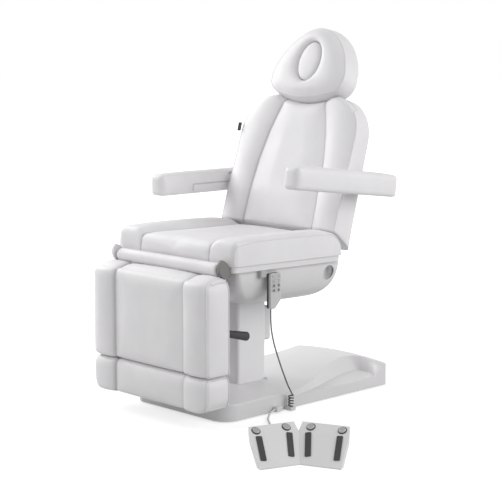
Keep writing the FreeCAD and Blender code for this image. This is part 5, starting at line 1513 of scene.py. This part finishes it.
@dataclass
class Cords:
    """The hand control's cord with its curled end, and the foot control's cord."""

    hand_route: tuple[Point, ...] = (
        (303.5, -264.0, 387.4), (302.0, -263.0, 354.0), (298.0, -256.0, 313.0), (292.0, -238.0, 263.0),
        (286.0, -210.0, 205.0), (280.0, -180.0, 149.0), (272.0, -149.0, 98.0), (265.0, -128.0, 74.0),
        (262.0, -122.0, 59.0))
    foot_route: tuple[Point, ...] = (
        (255.0, -194.0, 15.0), (260.0, -217.0, 12.0), (273.0, -242.0, 6.0), (297.0, -270.0, 4.0),
        (331.0, -300.0, 4.0), (368.0, -326.0, 4.0), (412.0, -366.0, 4.0), (458.0, -412.0, 4.0),
        (500.0, -463.0, 4.0), (535.0, -514.0, 5.5), (560.0, -549.0, 12.0), (586.0, -571.0, 21.0),
        (612.0, -580.0, 24.0))
    hand_diameter: float = 5.0
    foot_diameter: float = 7.0
    curl_turns: int = 4
    curl_points: int = 12
    curl_radius: float = 8.5
    curl_top: float = 56.0
    curl_bottom: float = 17.0

    @staticmethod
    def nurbs(name: str, route: Sequence[Point], diameter: float) -> bpy.types.Object:
        """Smooth cord with the route's points as its control points.

        Args:
            name: name of the piece.
            route: points in millimetres.
            diameter: cord diameter in millimetres, or nought for a bare line.

        Returns:
            The curve object.
        """
        points = [tuple(part * MM for part in point) for point in route]
        obj = Tools.curve(name, points, diameter / 2 * MM, "NURBS")
        obj.data.bevel_resolution = 4
        obj.data.use_fill_caps = True
        spline = obj.data.splines[0]
        spline.resolution_u = 8
        spline.order_u = 3
        spline.use_endpoint_u = True
        return obj

    @staticmethod
    def centreline(obj: bpy.types.Object) -> list[Vector]:
        """Points along a curve's own smooth line, in metres."""
        depth, obj.data.bevel_depth = obj.data.bevel_depth, 0.0
        line = bpy.data.meshes.new_from_object(obj.evaluated_get(bpy.context.evaluated_depsgraph_get()))
        points = [vertex.co.copy() for vertex in line.vertices]
        bpy.data.meshes.remove(line)
        obj.data.bevel_depth = depth
        return points

    @staticmethod
    def measured(points: Sequence[Vector]) -> float:
        """Length of a line of points, in metres."""
        return round(sum((b - a).length for a, b in zip(points, points[1:])), 3)

    def hand(self) -> None:
        """Hand control's cord: hangs from the control and curls up at the base."""
        x, y = self.hand_route[-1][:2]
        route = list(self.hand_route[:-1])
        steps = self.curl_turns * self.curl_points
        for n in range(steps + 1):
            angle, share = 2 * math.pi * n / self.curl_points, n / steps
            route.append((x + self.curl_radius * math.cos(angle), y + self.curl_radius * math.sin(angle),
                          mix(self.curl_top, self.curl_bottom, share)))
        guide = self.nurbs("hand_cord_guide", route, 0.0)
        line = self.centreline(guide)
        bpy.data.objects.remove(guide)
        cord = Tools.tube("hand_cord_line", line, self.hand_diameter / 2 * MM, False)
        FINISH.cord_dark.dress(cord)
        Tools.smooth(cord, 60.0)
        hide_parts("hand_cord", "hand_cord_curl")
        start, end = (Vector(point) * MM for point in (self.hand_route[-1], self.hand_route[0]))
        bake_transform(cord)
        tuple(start)
        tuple(end)
        tuple(line[0])
        [tuple(point) for point in line]

    def foot(self) -> None:
        """Foot control's cord, loose on the floor."""
        cord = self.nurbs("foot_cord_line", self.foot_route, self.foot_diameter)
        FINISH.cord_white.dress(cord)
        line = self.centreline(cord)
        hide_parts("foot_cord")
        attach(cord, "base")
        tuple(part * MM for part in self.foot_route[0])

    def build(self) -> None:
        """Lays both cords."""
        self.hand()
        self.foot()
        LOG.info("cords")


@dataclass(frozen=True)
class Lamp:
    """Square area lamp aimed at a point, in metres and watts."""

    name: str
    place: Point
    target: Point
    size: float
    power: float

    def hang(self) -> None:
        """Adds the lamp to the scene."""
        data = bpy.data.lights.new(self.name, "AREA")
        data.size = self.size
        data.energy = self.power
        obj = Tools.add(self.name, data)
        obj.location = self.place
        aim = Vector(self.target) - Vector(self.place)
        obj.rotation_euler = aim.to_track_quat("-Z", "Y").to_euler()


@dataclass
class Studio:
    """Pale floor, soft light and the camera at the photograph's angle."""

    eye: Point = (3.899, -3.831, 1.322)
    azimuth: float = 46.03
    pitch: float = 8.22
    lens: float = 108.75
    sensor: float = 36.0
    view_limit: float = 100.0
    floor_size: float = 60.0
    floor_z: float = -0.0005
    floor_tone: float = 0.54
    floor_reach: Pair = (0.9, 2.6)
    floor_glow: Pair = (0.62, 1.1)
    world_light: float = 0.515
    world_seen: float = 1.0
    lamps: tuple[Lamp, ...] = (Lamp("left", (-3.2, -0.6, 2.4), (0.0, 0.0, 0.7), 2.4, 78.0),
                               Lamp("right", (3.6, 1.4, 2.4), (0.0, 0.0, 0.8), 2.4, 75.0),
                               Lamp("front_left", (-2.2, -3.6, 2.8), (0.0, 0.0, 0.9), 2.6, 42.0),
                               Lamp("front_right", (2.8, -3.2, 1.0), (0.0, 0.0, 0.4), 1.6, 7.0))

    def floor(self) -> None:
        """Seamless white floor that keeps a faint shadow."""
        bpy.ops.object.select_all(action="DESELECT")
        bpy.ops.mesh.primitive_plane_add(size=self.floor_size, location=(0.0, 0.0, self.floor_z))
        plane = bpy.context.active_object
        plane.name = "studio_floor"
        material = bpy.data.materials.new("studio_white")
        material.use_nodes = True
        tree, links = material.node_tree, material.node_tree.links
        shader = tree.nodes["Principled BSDF"]
        shader.inputs["Base Color"].default_value = rgba((self.floor_tone,) * 3)
        shader.inputs["Roughness"].default_value = 0.9
        shader.inputs["Emission Color"].default_value = (1.0, 1.0, 1.0, 1.0)
        place = Nodes.add(tree, "TexCoord")
        reach = Nodes.add(tree, "VectorMath", operation="LENGTH")
        links.new(place.outputs["Object"], reach.inputs[0])
        (near, far), (dim, bright) = self.floor_reach, self.floor_glow
        level = Nodes.add(tree, "MapRange", {"From Min": near, "From Max": far,
                                             "To Min": dim, "To Max": bright})
        links.new(reach.outputs["Value"], level.inputs["Value"])
        glow = Nodes.add(tree, "Math", operation="MULTIPLY")
        links.new(Nodes.seen(tree), glow.inputs[0])
        links.new(level.outputs["Result"], glow.inputs[1])
        links.new(glow.outputs[0], shader.inputs["Emission Strength"])
        plane.data.materials.append(material)
        plane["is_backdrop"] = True

    def light(self) -> None:
        """White surround and four large soft lamps."""
        world = bpy.data.worlds.new("studio_world")
        bpy.context.scene.world = world
        world.use_nodes = True
        tree, links = world.node_tree, world.node_tree.links
        back = tree.nodes["Background"]
        back.inputs["Color"].default_value = (1.0, 1.0, 1.0, 1.0)
        level = Nodes.add(tree, "MapRange", {"To Min": self.world_light, "To Max": self.world_seen})
        links.new(Nodes.seen(tree), level.inputs["Value"])
        links.new(level.outputs["Result"], back.inputs["Strength"])
        for lamp in self.lamps:
            lamp.hang()

    def camera(self) -> None:
        """Camera worked out from the photograph's straight edges."""
        data = bpy.data.cameras.new("photo_camera")
        data.lens = self.lens
        data.sensor_width = self.sensor
        data.clip_end = self.view_limit
        obj = Tools.add("photo_camera", data)
        az, pitch = math.radians(self.azimuth), math.radians(self.pitch)
        back = Vector((math.sin(az) * math.cos(pitch), -math.cos(az) * math.cos(pitch), math.sin(pitch)))
        right = Vector((0.0, 0.0, 1.0)).cross(back).normalized()
        up = back.cross(right)
        turn = Matrix((right, up, back)).transposed().to_4x4()
        obj.matrix_world = Matrix.Translation(self.eye) @ turn
        bpy.context.scene.camera = obj

    def build(self) -> None:
        """Sets floor, light, view transform and camera."""
        bpy.context.scene.view_settings.view_transform = "Standard"
        self.floor()
        self.light()
        self.camera()
        LOG.info("studio")


@dataclass
class HandControl:
    """Ring pads on the rocker keys of the hand control."""

    keys: int = 4
    light_keys: int = 2
    spread: float = 11.0
    sink: float = 0.4
    size: DiscSize = (5.0, 3.2, 1.7, 0.9)

    def build(self) -> None:
        """Two pads to a key, dark on the last two keys."""
        out = Vector((1.0, 0.0, 0.0))
        for number in range(1, self.keys + 1):
            low, high = (Vector(corner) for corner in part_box("hand_key_%d" % number))
            middle = (low + high) / 2
            pads = []
            for side in (-1, 1):
                place = Vector((high.x - self.sink * MM, middle.y + side * self.spread * MM, middle.z))
                pads.append(Tools.disc("key_pads_%d_%d" % (number, side + 2), place, out, self.size))
            pair = Tools.join(pads[0], pads[1:])
            (FINISH.key_dark if number > self.light_keys else FINISH.key_light).dress(pair)
            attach(pair, "key_%d" % number)
        LOG.info("hand control pads")


@dataclass
class FootControl:
    """Collars round the foot control's push buttons, and their dished caps."""

    buttons: int = 4
    collar_radius: float = 13.7
    collar_wire: float = 1.7
    collar_flat: float = 0.7
    cap: DiscSize = (7.6, 2.4, 1.6, 0.8)
    cap_sink: float = 0.7
    face: float = 6.5
    strip: float = 0.8

    def build(self, joints: Sequence[dict]) -> None:
        """One collar and cap to a button.

        Args:
            joints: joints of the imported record, for the buttons' directions.
        """
        ways = {joint["name"]: -Vector(joint["axis"]) for joint in joints if "axis" in joint}
        for number in range(1, self.buttons + 1):
            out = ways["button_%d_press" % number].normalized()
            low, high = (Vector(corner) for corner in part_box("foot_button_%d" % number))
            middle = (low + high) / 2
            self.collar("button_collar_%d" % number, middle + out * self.strip * MM, out)
            place = middle + out * (self.face - self.cap_sink) * MM
            cap = Tools.disc("button_cap_%d" % number, place, out, self.cap)
            FINISH.steel.dress(cap)
            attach(cap, "button_%d" % number)
        LOG.info("foot control buttons")

    def collar(self, name: str, place: Vector, out: Vector) -> None:
        """Flattened ring on the strip round one button.

        Args:
            name: name of the piece.
            place: middle of the ring, in metres.
            out: direction that the button's face looks in.
        """
        bpy.ops.object.select_all(action="DESELECT")
        bpy.ops.mesh.primitive_torus_add(major_segments=ROUND_SIDES, minor_segments=12,
                                         major_radius=self.collar_radius * MM,
                                         minor_radius=self.collar_wire * MM)
        ring = bpy.context.active_object
        ring.name = name
        bpy.ops.object.mode_set(mode="EDIT")
        bpy.ops.mesh.select_all(action="SELECT")
        bpy.ops.transform.resize(value=(1.0, 1.0, self.collar_flat))
        bpy.ops.object.mode_set(mode="OBJECT")
        ring.location = place
        ring.rotation_euler = out.to_track_quat("Z", "Y").to_euler()
        Tools.settle(ring)
        Tools.smooth(ring, 60.0)
        FINISH.collar.dress(ring)
        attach(ring, "base")


@dataclass
class ShellCups:
    """Shallow white cups behind the two round holes of the under-seat shell."""

    mouth: Point = (270.0, 46.6, 475.9)
    lean: float = -0.2
    inset: float = 10.0
    size: DiscSize = (30.0, 20.0, 2.6, 15.0)

    def build(self) -> None:
        """One cup to a side."""
        x, y, z = self.mouth
        for side, word in ((1, "left"), (-1, "right")):
            out = Vector((side, 0.0, self.lean)).normalized()
            place = Vector((side * x, y, z)) * MM - out * self.inset * MM
            cup = Tools.disc("shell_cup_" + word, place, out, self.size)
            FINISH.moulding.dress(cup)
            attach(cup, "seat")
        LOG.info("shell cups")


class KeptSolids:
    """Finishes of the solids that keep their own shape."""

    FINISHED: tuple[tuple[Finish, tuple[str, ...]], ...] = (
        (FINISH.moulding, ("base_front_cover", "base_rear_cover", "seat_pan", "under_seat_shell",
                           "tilt_motor", "foot_control_case", "cord_glands")),
        (FINISH.column, ("outer_column", "inner_column", "leg_frame")),
        (FINISH.frame, ("base_frame", "mast_head", "seat_frame", "back_frame", "foot_frame", "head_board",
                        "arm_bracket_left", "arm_bracket_right")),
        (FINISH.steel, ("lift_spindle", "lift_nut_tube", "tilt_rod", "hinge_pins", "leg_rod", "back_rod",
                        "head_posts", "release_lever")),
        (FINISH.rubber, ("levelling_feet", "lever_grip", "foot_control_strips")),
        (FINISH.key_light, ("hand_control_hook",)),
        (FINISH.dark, ("control_box", "lift_motor", "leg_motor", "back_motor")),
        (FINISH.cap, ("roll_end_caps",)),
        (FINISH.control, ("hand_control_case",)),
        (FINISH.key_face, ("hand_key_1", "hand_key_2", "hand_key_3", "hand_key_4")),
        (FINISH.board, ("back_board",)),
        (FINISH.tab, ("back_tab",)),
        (FINISH.silver, ("foot_button_1", "foot_button_2", "foot_button_3", "foot_button_4")),
    )

    def dress(self, nodes: dict[str, bpy.types.Object]) -> None:
        """Gives each kept solid its finish.

        Args:
            nodes: solids of the frame by name.
        """
        for finish, names in self.FINISHED:
            for name in names:
                finish.dress(nodes[name])
            LOG.info("%s: %s", finish.name, ", ".join(names))


def main() -> None:
    """Builds the chair's looks around its solids."""
    logging.basicConfig(level=logging.INFO, format="%(name)s: %(message)s")
    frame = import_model()
    solid_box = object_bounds()
    bpy.ops.object.select_all(action="DESELECT")
    Studio().build()
    Cords().build()
    KeptSolids().dress(frame["nodes"])
    HandControl().build()
    FootControl().build(frame["record"]["behaviour"]["joints"])
    ShellCups().build()
    LegPad.sized("leg_pad", "leg_cushion", "leg", (188.0, 506.0), corner=8.0, crown=16.0).build()
    LegPad.sized("foot_pad", "foot_cushion", "foot", (64.0, 184.5), corner=46.0, crown=2.5).build()
    SeatPad.made().build()
    BackPad.made().build()
    HeadPad().build()
    FrontRoll().build()
    for side in (1, -1):
        ArmPad.made(side).build()
    boxes = {"cad": solid_box, "visual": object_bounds()}
    {name: [list(part) for part in box] for name, box in boxes.items()}


if __name__ == "__main__":
    main()
